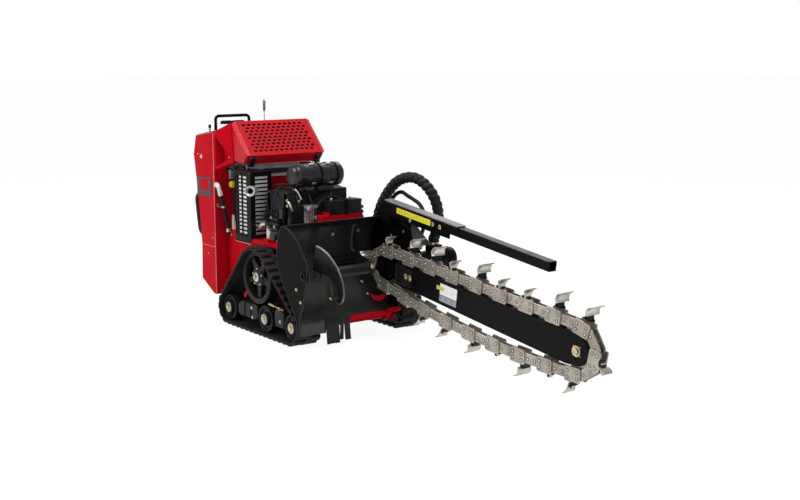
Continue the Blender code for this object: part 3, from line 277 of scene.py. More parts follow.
def addNode(tree, kind, values=None, **settings):
    made = tree.nodes.new("ShaderNode" + kind)
    for key, value in settings.items():
        setattr(made, key, value)
    for key, value in (values or {}).items():
        if isinstance(value, bpy.types.NodeSocket):
            tree.links.new(value, made.inputs[key])
        else:
            made.inputs[key].default_value = value
    return made


def ramp(tree, value, low, high, start=(0, 0, 0), end=(1, 1, 1)):
    made = addNode(tree, "ValToRGB", {"Fac": value})
    made.color_ramp.elements[0].position, made.color_ramp.elements[1].position = low, high
    made.color_ramp.elements[0].color, made.color_ramp.elements[1].color = (*start, 1), (*end, 1)
    return made.outputs["Color"]


def mixed(tree, fac, one, other):
    made = addNode(tree, "Mix", {"Factor": fac}, data_type="RGBA")
    for socket, value in ((made.inputs[6], one), (made.inputs[7], other)):
        if isinstance(value, bpy.types.NodeSocket):
            tree.links.new(value, socket)
        else:
            socket.default_value = (*value, 1)
    return made.outputs[2]


def reckoned(tree, operation, *values):
    return addNode(tree, "Math", dict(enumerate(values)), operation=operation).outputs[0]


# cloudy tone, fine grain for bump and roughness, a thin film of dust or wear where a coarse cloud is high
def makeFinish(name, slot, colour, tone, rough, grain, depth, film=None, filmSpan=(0.62, 0.8),
        filmScale=14.0, metallic=0.0, coat=0.0, stretch=(1, 1, 1), specular=0.22, bumpStep=0.0006):
    material = bpy.data.materials.new(name)
    material.use_nodes = True
    tree = material.node_tree
    shader = tree.nodes["Principled BSDF"]
    place = addNode(tree, "TexCoord").outputs["Object"]
    place = addNode(tree, "Mapping", {"Vector": place, "Scale": stretch}).outputs["Vector"]
    cloud = addNode(tree, "TexNoise",
        {"Vector": place, "Scale": 9.0, "Detail": 5.0, "Roughness": 0.6}).outputs["Fac"]
    fine = addNode(tree, "TexNoise",
        {"Vector": place, "Scale": grain, "Detail": 3.0, "Roughness": 0.55}).outputs["Fac"]
    surface = mixed(tree, ramp(tree, cloud, 0.38, 0.66), colour, tone)
    roughness = addNode(tree, "MapRange",
        {"Value": cloud, "From Min": 0.3, "From Max": 0.7, "To Min": rough[0],
         "To Max": rough[1]}).outputs["Result"]
    if film:
        patches = addNode(tree, "TexNoise",
            {"Vector": place, "Scale": filmScale, "Detail": 9.0, "Roughness": 0.7})
        mask = ramp(tree, patches.outputs["Fac"], *filmSpan)
        surface = mixed(tree, mask, surface, film)
        roughness = reckoned(tree, "MAXIMUM", roughness, mask) if metallic < 0.5 else roughness
    bump = addNode(tree, "Bump", {"Height": fine, "Strength": depth, "Distance": bumpStep})
    tree.links.new(surface, shader.inputs["Base Color"])
    tree.links.new(roughness, shader.inputs["Roughness"])
    tree.links.new(bump.outputs["Normal"], shader.inputs["Normal"])
    shader.inputs["Metallic"].default_value = metallic
    shader.inputs["Coat Weight"].default_value = coat
    shader.inputs["Coat Roughness"].default_value = 0.08
    shader.inputs["Specular IOR Level"].default_value = specular
    finishes[name] = material, slot
    return material, shader


# each row: name, slot, colour, second tone, roughness span, grain, bump depth,
# film colour, film span, film scale, and what else sets the finish apart
for row in (
    # red paint in two copies: the second is a lit copy of the same paint for the hood, glossier and a
    # touch brighter, as painted highlight
    ("redPaint", "red_paint", (0.5, 0.0045, 0.012), (0.44, 0.003, 0.01), (0.3, 0.42), 700.0, 0.05,
     (0.38, 0.014, 0.018), (0.6, 0.9), 3.0, {"specular": 0.02}),
    ("hoodRed", "red_paint", (0.52, 0.005, 0.013), (0.46, 0.0035, 0.011), (0.26, 0.36), 700.0, 0.05,
     (0.4, 0.016, 0.02), (0.6, 0.9), 3.0, {"coat": 0.08, "specular": 0.18}),
    ("shellPaint", "black_paint", (0.01, 0.0098, 0.01), (0.016, 0.0155, 0.015), (0.34, 0.46), 520.0, 0.12,
     (0.034, 0.032, 0.03), (0.58, 0.86), 7.0, {"specular": 0.55}),
    ("blackPaint", "black_paint", (0.003, 0.003, 0.0036), (0.0048, 0.0047, 0.0052), (0.28, 0.42), 800.0,
     0.1,
     (0.01, 0.0096, 0.0094), (0.62, 0.88), 11.0, {"specular": 0.07}),
    # near-black copy of the black paint, darker than the rest: the plates' own black with painted shade
    # added, and painted shade on the head sprocket
    ("plateBlack", "black_paint", (0.0018, 0.0018, 0.0023), (0.0028, 0.0028, 0.0032), (0.3, 0.44), 700.0,
     0.1,
     (0.0065, 0.0062, 0.006), (0.64, 0.9), 9.0, {"specular": 0.035}),
    ("wornBlack", "black_paint", (0.0065, 0.0065, 0.007), (0.012, 0.0115, 0.011), (0.32, 0.48), 420.0,
     0.16,
     (0.045, 0.042, 0.037), (0.6, 0.86), 8.0, {"specular": 0.16}),
    ("shieldPaint", "black_paint", (0.0065, 0.0063, 0.0065), (0.011, 0.0105, 0.01), (0.3, 0.44), 520.0,
     0.12,
     (0.026, 0.024, 0.022), (0.58, 0.86), 7.0, {}),
    ("flangeGrey", "black_paint", (0.052, 0.051, 0.056), (0.07, 0.068, 0.074), (0.4, 0.52), 520.0, 0.12,
     (0.1, 0.1, 0.1), (0.64, 0.86), 9.0, {}),
    # grey on the safety bar's top: painted highlight where light falls on the black bar
    ("barTop", "black_paint", (0.15, 0.15, 0.155), (0.2, 0.2, 0.205), (0.34, 0.46), 600.0, 0.1,
     (0.28, 0.28, 0.28), (0.62, 0.86), 12.0, {}),
    ("wornEdge", "black_paint", (0.3, 0.29, 0.27), (0.12, 0.115, 0.11), (0.3, 0.44), 300.0, 0.2,
     (0.03, 0.03, 0.03), (0.56, 0.74), 24.0, {"metallic": 0.6}),
    ("flapRubber", "rubber", (0.013, 0.013, 0.014), (0.021, 0.021, 0.021), (0.5, 0.66), 700.0, 0.25,
     (0.09, 0.085, 0.078), (0.6, 0.82), 18.0, {}),
    ("trackRubber", "rubber", (0.0085, 0.0085, 0.0085), (0.017, 0.016, 0.0145), (0.58, 0.76), 500.0, 0.35,
     (0.05, 0.045, 0.037), (0.6, 0.82), 17.0, {}),
    ("hoseRubber", "rubber", (0.0065, 0.0065, 0.0072), (0.011, 0.011, 0.012), (0.42, 0.6), 1400.0, 0.2,
     (0.05, 0.048, 0.045), (0.66, 0.84), 20.0, {}),
    ("padVinyl", "rubber", (0.012, 0.012, 0.013), (0.018, 0.018, 0.019), (0.48, 0.62), 620.0, 0.5,
     (0.045, 0.044, 0.042), (0.64, 0.86), 9.0, {"bumpStep": 0.0012}),
    ("linkSteel", "grey_steel", (0.46, 0.42, 0.36), (0.27, 0.24, 0.2), (0.3, 0.5), 260.0, 0.35,
     (0.085, 0.066, 0.05), (0.56, 0.76), 42.0, {"metallic": 0.7, "specular": 0.4}),
    ("cupSteel", "grey_steel", (0.66, 0.63, 0.57), (0.44, 0.41, 0.36), (0.24, 0.42), 300.0, 0.25,
     (0.16, 0.135, 0.11), (0.6, 0.82), 30.0, {"metallic": 0.8, "stretch": (1, 1, 3)}),
    # near-white, hardly metallic: the muffler's pale steel made brighter as painted light where the can
    # sits in shade
    ("brightSteel", "chrome", (0.9, 0.9, 0.9), (0.78, 0.77, 0.75), (0.3, 0.44), 300.0, 0.06,
     (0.36, 0.33, 0.28), (0.58, 0.8), 26.0, {"metallic": 0.1, "specular": 0.5}),
    ("chrome", "chrome", (0.78, 0.78, 0.79), (0.66, 0.67, 0.69), (0.1, 0.2), 300.0, 0.04,
     (0.52, 0.5, 0.46), (0.6, 0.86), 22.0, {"metallic": 1.0}),
    ("castAluminium", "aluminium", (0.46, 0.49, 0.54), (0.34, 0.37, 0.41), (0.32, 0.5), 420.0, 0.45,
     (0.12, 0.12, 0.125), (0.56, 0.74), 40.0, {"metallic": 0.9}),
    ("goldZinc", "zinc", (0.72, 0.56, 0.26), (0.58, 0.5, 0.33), (0.22, 0.36), 500.0, 0.15,
     (0.3, 0.24, 0.15), (0.6, 0.82), 50.0, {"metallic": 0.95}),
    ("paleZinc", "zinc", (0.66, 0.63, 0.56), (0.5, 0.48, 0.42), (0.26, 0.4), 500.0, 0.15,
     (0.3, 0.27, 0.22), (0.6, 0.8), 50.0, {"metallic": 0.85}),
    ("yellowPlastic", "yellow", (0.78, 0.72, 0.03), (0.7, 0.62, 0.03), (0.36, 0.5), 900.0, 0.1,
     (0.55, 0.48, 0.08), (0.66, 0.88), 30.0, {}),
    ("blackPlastic", "black_plastic", (0.0075, 0.0075, 0.0085), (0.013, 0.013, 0.014), (0.26, 0.42),
     1100.0, 0.22,
     (0.028, 0.027, 0.026), (0.66, 0.86), 16.0, {}),
    ("glossPlastic", "black_plastic", (0.0085, 0.0085, 0.01), (0.012, 0.012, 0.014), (0.24, 0.34), 700.0,
     0.08,
     (0.026, 0.026, 0.029), (0.64, 0.88), 10.0, {"specular": 0.45}),
    # matte black for a dark seam line, and as painted shade under the hood and inside the exhaust pipe
    ("darkInside", "black_paint", (0.006, 0.006, 0.006), (0.01, 0.01, 0.01), (0.6, 0.75), 500.0, 0.2,
     (0.02, 0.019, 0.018), (0.66, 0.86), 14.0, {}),
    ("whitePlastic", "chrome", (0.74, 0.74, 0.73), (0.66, 0.66, 0.65), (0.34, 0.46), 900.0, 0.08,
     (0.5, 0.49, 0.46), (0.66, 0.88), 26.0, {}),
    # pink rods on the console's edges and the hood lip: painted highlight standing in for the light
    # caught by the bevels
    ("seamLight", "red_paint", (0.62, 0.22, 0.22), (0.54, 0.14, 0.15), (0.2, 0.3), 700.0, 0.05,
     (0.5, 0.1, 0.1), (0.6, 0.9), 9.0, {"coat": 0.4}),
):
    makeFinish(*row[:-1], **row[-1])


# label stock: a ground with slanting bars of a second colour, counted along the piece's own UV map
def makeLabel(name, slot, ground, bars, count, slant, share=0.5):
    material, shader = makeFinish(name, slot, ground, tuple(0.92 * v for v in ground), (0.3, 0.42), 900.0,
        0.05)
    tree = material.node_tree
    under = shader.inputs["Base Color"].links[0].from_socket
    uv = addNode(tree, "SeparateXYZ", {"Vector": addNode(tree, "UVMap", uv_map="UVMap").outputs["UV"]})
    across, up = uv.outputs["X"], uv.outputs["Y"]
    run = reckoned(tree, "MULTIPLY", across, float(count))
    part = reckoned(tree, "FRACT", reckoned(tree, "MULTIPLY_ADD", up, float(slant), run))
    inside = reckoned(tree, "LESS_THAN", part, share)
    high, wide = (reckoned(tree, "COMPARE", way, 0.5, reach)
        for way, reach in ((up, 0.3), (across, 0.47)))
    mask = reckoned(tree, "MULTIPLY", inside, reckoned(tree, "MULTIPLY", high, wide))
    tree.links.new(mixed(tree, mask, under, bars), shader.inputs["Base Color"])


makeLabel("hazardLabel", "yellow", (0.8, 0.72, 0.04), (0.45, 0.4, 0.03), 11, 0.7, 0.32)
makeLabel("whiteLabel", "black_plastic", (0.82, 0.82, 0.81), (0.72, 0.73, 0.75), 3, 0.0, 0.4)
makeLabel("greyLabel", "black_plastic", (0.34, 0.36, 0.38), (0.22, 0.23, 0.25), 3, 0.0, 0.4)
makeLabel("yellowLabel", "yellow", (0.62, 0.55, 0.05), (0.45, 0.4, 0.06), 3, 0.0, 0.3)


# flat sticker: a grid lying on a face, with a UV map of its own; point = corner + u * right + v * up
def sticker(name, corner, right, up, finish, body, steps=6, mapper=None):
    corner, right, up = (np.asarray(v, float) for v in (corner, right, up))
    u, v = (g.ravel() for g in np.meshgrid(np.linspace(0, 1, steps + 1), np.linspace(0, 1, steps + 1)))
    out = unit(np.cross(right, up)) * 0.0006
    points = corner + u[:, None] * right + v[:, None] * up
    both = np.concatenate([points + out, points - out])
    n = (steps + 1) ** 2
    front = gridFaces(steps + 1, steps + 1)
    back = [[i + n for i in face] for face in front]
    shape = (both, front + back)
    obj = piece(name, mapper(shape) if mapper else shape, finish, body)
    layer = obj.data.uv_layers.new(name="UVMap")
    corners = np.empty(len(obj.data.loops), int)
    obj.data.loops.foreach_get("vertex_index", corners)
    spots = np.concatenate([np.stack([u, v], -1)] * 2)[corners]
    layer.data.foreach_set("uv", spots.astype(np.float32).ravel())
    return obj


cadFinish = {}
for names, finish in (
    (("chassis_frame", "deck_plate", "hydraulic_tank", "tower_shell", "head_carrier"), "redPaint"),
    (("track_frame_right", "track_frame_left", "rear_panel", "reference_bar", "traction_lever", "boom",
      "boom_mount", "safety_bar", "bar_bracket", "drive_motor", "lift_cylinder_barrel",
      "muffler_guard"), "blackPaint"),
    (("engine_block",), "wornBlack"),
    # the end plates get their black paint darkened as painted shade; the head sprocket is painted
    # near-black as painted shade
    (("right_end_plate", "left_side_plate", "head_sprocket"), "plateBlack"),
    (("lift_cylinder_rod", "muffler", "boom_lever", "ignition_key"), "chrome"),
    (("control_panel", "trencher_drive_lever", "parking_brake_lever", "throttle_lever", "choke_knob",
      "air_cleaner",
      "battery", "fuel_tank"), "blackPlastic"),
    (("nose_sprocket", "lever_shaft", "hydraulic_pump"), "linkSteel"),
    (("oil_cooler",), "castAluminium"),
    (("dipstick",), "yellowPlastic"),
    (("nose_bolt",), "goldZinc"),
):
    for name in names:
        cadFinish[name] = finish
for name, finish in cadFinish.items():
    nodes[name].data.materials.clear()
    nodes[name].data.materials.append(finishes[finish][0])
print("finishes made:", len(finishes))


# the tracks
track = {"outer": 0.43, "width": 0.158, "web": 0.008, "lug": 0.012, "pitchCount": 42, "clearance": 0.0015,
         "wheels": [((-0.034, 0.096), 0.0745), ((-0.406, 0.316), 0.15), ((-0.711, 0.096), 0.0745)]}


# belt line: arcs round the three wheels joined by common tangents, resampled to even steps
def beltLine(extra, count):
    rounds = [(np.array(c), r + track["clearance"] + extra) for c, r in track["wheels"]]
    angles = []
    for i in range(3):
        (c0, r0), (c1, r1) = rounds[i], rounds[(i + 1) % 3]
        line = c1 - c0
        angles.append(math.atan2(line[1], line[0]) - math.acos((r0 - r1) / np.linalg.norm(line)))
    runs = []
    for i, (centre, radius) in enumerate(rounds):
        start, end = angles[i - 1], angles[i]
        end += 2 * math.pi * math.ceil(max(0.0, start - end) / (2 * math.pi))
        runs.append(arcPoints(centre, radius, math.degrees(start), math.degrees(end), 60))
    line = np.vstack(runs + [runs[0][:1]])
    at, _ = resampled(line, count, closed=True)
    return at, unit(np.roll(at, -1, 0) - np.roll(at, 1, 0))


def makeBelt(sideName, side):
    middle = side * (track["outer"] - track["width"] / 2)
    half, web, lug = track["width"] / 2, track["web"], track["lug"]
    at, way = beltLine(0.0, 252)
    path = np.stack([at[:, 0], np.full(len(at), middle), at[:, 1]], -1)
    section = [(0, -half + 0.002), (0, half - 0.002), (0.002, half), (web - 0.002, half),
        (web, half - 0.003), (web, half - 0.018), (web - 0.0015, half - 0.02),
        (web - 0.0015, -half + 0.02), (web, -half + 0.018), (web, -half + 0.003), (web - 0.002, -half),
        (0.002, -half)]
    shapes = [sweep(path, section, wrap=True, top=(0, 1, 0))]
    at, way = beltLine(web, track["pitchCount"] * 2)
    out = np.stack([way[:, 1], np.zeros(len(way)), -way[:, 0]], -1)
    along = np.stack([way[:, 0], np.zeros(len(way)), way[:, 1]], -1)
    frames = np.stack([along, np.tile([0.0, 1.0, 0.0], (len(way), 1)), out], -1)
    places = np.stack([at[:, 0], np.full(len(at), middle), at[:, 1]], -1)
    # two staggered rows of lugs
    for offset, low, high in ((0, -half + 0.001, 0.014), (1, -0.014, half - 0.001)):
        long, narrow = 0.017, 0.011
        tread = prism([(-long, low), (long, low), (long, high), (-long, high)], -0.002, 0.004, 0.0,
            **level)
        crown = np.array([(-long, low, 0.003), (long, low, 0.003), (long, high, 0.003),
            (-long, high, 0.003), (-narrow, low + 0.003, lug - 0.001), (narrow, low + 0.003, lug - 0.001),
            (narrow, high - 0.003, lug - 0.001), (-narrow, high - 0.003, lug - 0.001),
            (-narrow + 0.002, low + 0.005, lug), (narrow - 0.002, low + 0.005, lug),
            (narrow - 0.002, high - 0.005, lug), (-narrow + 0.002, high - 0.005, lug)], float)
        lugShape = merge([tread, (crown, tubeFaces(3, 4))])
        shapes.append(copies(lugShape, places[offset::2], frames[offset::2]))
    piece(f"belt_{sideName}", shapes, "trackRubber", "chassis", [f"track_belt_{sideName}"])


def makeWheels(sideName, side):
    yOut = side * 0.408
    axis = (0, side, 0)
    for name, x in (("rear_wheel", -0.711), ("middle_wheel", -0.312), ("front_wheel", -0.034)):
        centre = np.array([x, yOut, 0.096])
        body = f"{name}_{sideName}"
        profile = [(0.0155, -0.09), (0.034, -0.09), (0.06, -0.082), (0.0735, -0.078), (0.0745, -0.075),
            (0.0745, -0.012), (0.0735, -0.008), (0.07, -0.006), (0.064, -0.006), (0.061, -0.008),
            (0.057, -0.019), (0.05, -0.022), (0.04, -0.02), (0.037, -0.008), (0.036, -0.001),
            (0.034, 0.0), (0.03, 0.0), (0.028, -0.003), (0.0155, -0.003)]
        piece(f"{body}_rim", lathe(profile, centre, axis, 44, wrap=True), "wornBlack", body, [body])
        hub = lathe([(0.0285, -0.004), (0.0285, 0.0035), (0.0265, 0.005), (0.021, 0.005),
            (0.0195, 0.0025), (0.0195, -0.004)], centre, axis, 32, wrap=True)
        piece(f"{body}_hub_ring", hub, "paleZinc", body)
        piece(f"{body}_bolt", bolt(centre + np.array([0, side * 0.003, 0]), axis, 0.0115), "goldZinc",
              body)
    driveX, driveZ = track["wheels"][1][0]
    centre = np.array([driveX, side * 0.363, driveZ])
    body = f"drive_wheel_{sideName}"
    rim = [(0.12, -0.03), (0.123, -0.036), (0.146, -0.036), (0.15, -0.033), (0.15, 0.033), (0.146, 0.036),
           (0.14, 0.037), (0.134, 0.035), (0.13, 0.036), (0.124, 0.037), (0.12, 0.034), (0.117, 0.02),
           (0.117, -0.02)]
    shapes = [lathe(rim, centre, axis, 72, wrap=True)]
    shapes.append(lathe([(0.0155, -0.034), (0.05, -0.034), (0.056, -0.028), (0.058, 0.02), (0.05, 0.03),
        (0.038, 0.033), (0.0155, 0.033)], centre, axis, 40, wrap=True))
    spoke = np.array([(0.05, -0.024), (0.085, -0.015), (0.122, -0.022), (0.122, 0.022), (0.085, 0.015),
        (0.05, 0.024)])
    arm = prism(spoke, -0.014, 0.02, 0.004)
    turn = np.radians(126 + 72 * np.arange(5))
    frames = np.zeros((5, 3, 3))
    frames[:, 0, 0], frames[:, 2, 0] = np.cos(turn), np.sin(turn)
    frames[:, 0, 2], frames[:, 2, 2] = -np.sin(turn), np.cos(turn)
    frames[:, 1, 1] = side
    shapes.append(copies(arm, np.tile(centre, (5, 1)), frames))
    piece(f"{body}_casting", shapes, "wornBlack", body, [body], angle=30)
    cap = centre + np.array([0, side * 0.033, 0])
    piece(f"{body}_cap", lathe([(0.026, -0.004), (0.026, 0.006), (0.022, 0.009), (0.004, 0.0095)], cap,
        axis, 28), "paleZinc", body)
    piece(f"{body}_bolt", bolt(cap + np.array([0, side * 0.009, 0]), axis, 0.012, washer=False),
          "goldZinc", body)
    bolts = [bolt(p, axis, 0.0045)
             for p in onCircle(driveX, side * 0.3935, driveZ, 0.046, 90 + 72 * np.arange(5))]
    piece(f"{body}_lug_bolts", bolts, "paleZinc", body)


def makeTrackHardware(sideName, side):
    near, far = side * 0.398, side * 0.3195
    rearBeam = [(-0.622, 0.086), (-0.6, 0.066), (-0.424, 0.066), (-0.402, 0.086), (-0.402, 0.132),
        (-0.436, 0.156), (-0.588, 0.156), (-0.622, 0.132)]
    frontBeam = [(-0.222, 0.07), (-0.126, 0.07), (-0.124, 0.15), (-0.15, 0.174), (-0.2, 0.178),
        (-0.222, 0.156)]
    skirt = [(-0.7, 0.03), (-0.048, 0.03), (-0.048, 0.12), (-0.1, 0.18), (-0.64, 0.18), (-0.7, 0.12)]
    shapes = [prism(line, *sorted((near, far)), 0.006) for line in (rearBeam, frontBeam)]
    shapes.append(prism(skirt, *sorted((far - side * 0.0005, side * 0.3145)), 0.001))
    piece(f"frame_beams_{sideName}", shapes, "wornBlack")
    y = side * 0.404
    screw = [rod([(-0.262, y, 0.19), (-0.205, y, 0.186)], 0.0065, 12),
             rod([(-0.205, y, 0.186), (-0.115, y, 0.178)], 0.0035, 10),
             lathe([(0.011, -0.006), (0.011, 0.006), (0.003, 0.0065)], (-0.15, y, 0.181),
                   (0.996, 0, -0.09), 6)]
    piece(f"tensioner_{sideName}", screw, "goldZinc")
    places = [(-0.1625, 0.107), (-0.46, 0.078), (-0.468, 0.131)]
    piece(f"frame_bolts_{sideName}", [bolt((x, near, z), (0, side, 0), 0.0065) for x, z in places],
          "paleZinc")
    ribs = [block((x - 0.004, x + 0.004), sorted((near, side * 0.403)), (0.072, 0.148), 0.0015)
            for x in (-0.545, -0.48)]
    piece(f"frame_ribs_{sideName}", ribs, "wornBlack")


for sideName, side in (("right", -1), ("left", 1)):
    makeBelt(sideName, side)
    makeWheels(sideName, side)
    makeTrackHardware(sideName, side)
print("tracks made")


# the console
console = {"front": -0.99, "half": 0.335, "seam": 0.4, "plate": ((-1.113, 0.752), (0.176, 0.112))}


def makeConsoleTrim():
    x, half, low = console["front"], console["half"], console["seam"]
    # pink rods along the front corners, the seam ledge and the top edge: painted highlights of the
    # bevelled edges
    beads = []
    for side in (-1, 1):
        y = side * half
        beads.append(rod([(x, y, 0.118), (x, y, 1.08)], 0.0024, 10))
        beads.append(rod([(x, y, low), (-1.158, y, low)], 0.0016, 8))
        beads.append(rod([(x, y, 1.083), (-1.204, y, 1.05)], 0.0018, 8))
    piece("console_edge_highlights", beads, "seamLight")
    seam = rod([(x + 0.0004, -half, low), (x + 0.0004, half, low)], 0.0012, 6, (0, 0, 1))
    piece("console_front_seam", seam, "darkInside")
    (px, pz), (w, h) = console["plate"]
    for sideName, side in (("right", -1), ("left", 1)):
        y = side * half
        rim = prism(roundedOutline(w, h, 0.006, 3, (px, pz)), *sorted((y, y + side * 0.0022)), 0.0008)
        piece(f"name_plate_{sideName}", rim, "glossPlastic")
        inner = prism(roundedOutline(w * 0.58, h * 0.6, 0.003, 3, (px + 0.002, pz + 0.012)),
            *sorted((y + side * 0.0015, y + side * 0.003)), 0.0004)
        piece(f"name_plate_field_{sideName}", inner, "redPaint")
        pins = [dome((px + dx, y, pz + dz), (0, side, 0), 0.004)
                for dx, dz in ((-0.07, 0.19), (0.09, -0.3), (0.03, -0.4))]
        pins += [bolt((-1.14, y, 0.929), (0, side, 0), 0.0085),
                 bolt((-0.915, side * 0.272, 0.935), (0, side, 0), 0.0055)]
        piece(f"console_bolts_{sideName}", pins, "paleZinc")
    louvres = [prism([(0, 0), (0.012, 0.004), (0.012, 0.007), (0, 0.01)], -0.2, 0.2, 0.0006, a=(-1, 0, 0),
        b=(0, 0, 1), at=(-1.2325 + 0.0036 * i, 0, 0.935 - 0.02 * i)) for i in range(7)]
    piece("rear_louvres", louvres, "blackPaint")


def makeConsoleHose():
    elbow = tubeAlong([(-0.9895, -0.32, 0.77), (-0.976, -0.32, 0.77), (-0.966, -0.32, 0.764),
        (-0.962, -0.318, 0.748), (-0.961, -0.3135, 0.728)], 0.012, 6, 16)
    collar = lathe([(0.0165, -0.006), (0.0165, 0.006), (0.012, 0.009)], (-0.9835, -0.32, 0.77), (1, 0, 0),
        18)
    nut = lathe([(0.015, -0.012), (0.015, 0.012), (0.013, 0.014)], (-0.961, -0.3115, 0.722),
        (0, 0.24, -0.97), 6)
    piece("hose_elbow", [elbow, collar, nut], "whitePlastic")
    route = [(-0.961, -0.3105, 0.716), (-0.96, -0.296, 0.655), (-0.96, -0.282, 0.6),
             (-0.96, -0.268, 0.54), (-0.96, -0.2628, 0.505), (-0.96, -0.2605, 0.484),
             (-0.96, -0.256, 0.4755), (-0.96, -0.248, 0.474), (-0.96, -0.2458, 0.474)]
    union = lathe([(0.0145, -0.01), (0.0145, 0.01), (0.012, 0.012)], (-0.96, -0.2628, 0.5), (0, 0.08, -1),
        6)
    seat = lathe([(0.016, 0.0), (0.016, 0.007), (0.012, 0.009)], (-0.96, -0.2451, 0.474), (0, -1, 0), 6)
    piece("hose_union", [union, seat], "paleZinc")
    piece("console_hose", tubeAlong(route, 0.0115, 6, 16), "hoseRubber", "chassis", ["tower_hose"])
    band = lathe([(0.0117, -0.005), (0.014, -0.005), (0.014, 0.005), (0.0117, 0.005)],
        (-0.96, -0.2925, 0.642), (0, 0.24, -0.97), 20, wrap=True)
    clip = [band, block((-0.9895, -0.962), (-0.318, -0.296), (0.64, 0.644), 0.0006),
            bolt((-0.9895, -0.312, 0.652), (1, 0, 0), 0.005)]
    piece("hose_clip", clip, "paleZinc")


# pad surface: outline |u|^n + |v|^n = 1 with a small power, its thickness swelling towards the middle
def makeThighPad():
    pad = {"half": 0.296, "tall": 0.142, "thick": 0.021, "centre": (-1.2905, 0.5635), "lean": -0.172}
    rows, columns = 49, 96
    t = np.linspace(-np.pi / 2, np.pi / 2, rows)[:, None]
    a = (np.arange(columns) * 2 * np.pi / columns)[None]
    power = lambda v, n: np.sign(v) * np.abs(v) ** n
    ring = power(np.cos(t), 0.22)
    # the sides draw in a little between the corners
    pull = 1 - 0.035 * np.cos(a) ** 2 * np.sin(a) ** 2 * 4
    y = pad["half"] * ring * power(np.cos(a), 0.18) * pull
    z = pad["tall"] * ring * power(np.sin(a), 0.22) * pull
    crown = 1.0 + 0.16 * (1 - (y / pad["half"]) ** 2) * (1 - (z / pad["tall"]) ** 2)
    channels = sum(np.exp(-((y - c) / 0.005) ** 2) for c in (-0.1, 0.1)) * np.where(t < 0, 1.0, 0.0)
    x = pad["thick"] * power(np.sin(t), 0.45) * crown + 0.006 * channels
    lean = math.tan(pad["lean"])
    points = np.stack([x + pad["centre"][0] + z * lean, y, z + pad["centre"][1]], -1).reshape(-1, 3)
    body = piece("thigh_cushion", (points, tubeFaces(rows, columns)), "padVinyl", "chassis",
        ["thigh_pad"], angle=60)
    posts = [lathe([(0.016, 0), (0.016, 0.08), (0.022, 0.083), (0.022, 0.092)], (-1.1795, y, 0.5785),
        (-0.988, 0, -0.155), 20) for y in (-0.2, 0.2)]
    piece("cushion_posts", posts, "blackPaint")
    s = np.arange(81) * 2 * np.pi / 81
    high = 0.1395 * power(np.sin(s), 0.24)
    loop = np.stack([high * lean - 1.2905, 0.2935 * power(np.cos(s), 0.2), 0.5635 + high], -1)
    seam = rod(loop, 0.0022, 6, (1, 0, 0), wrap=True)
    piece("cushion_piping", seam, "hoseRubber")


makeConsoleTrim()
makeConsoleHose()
makeThighPad()


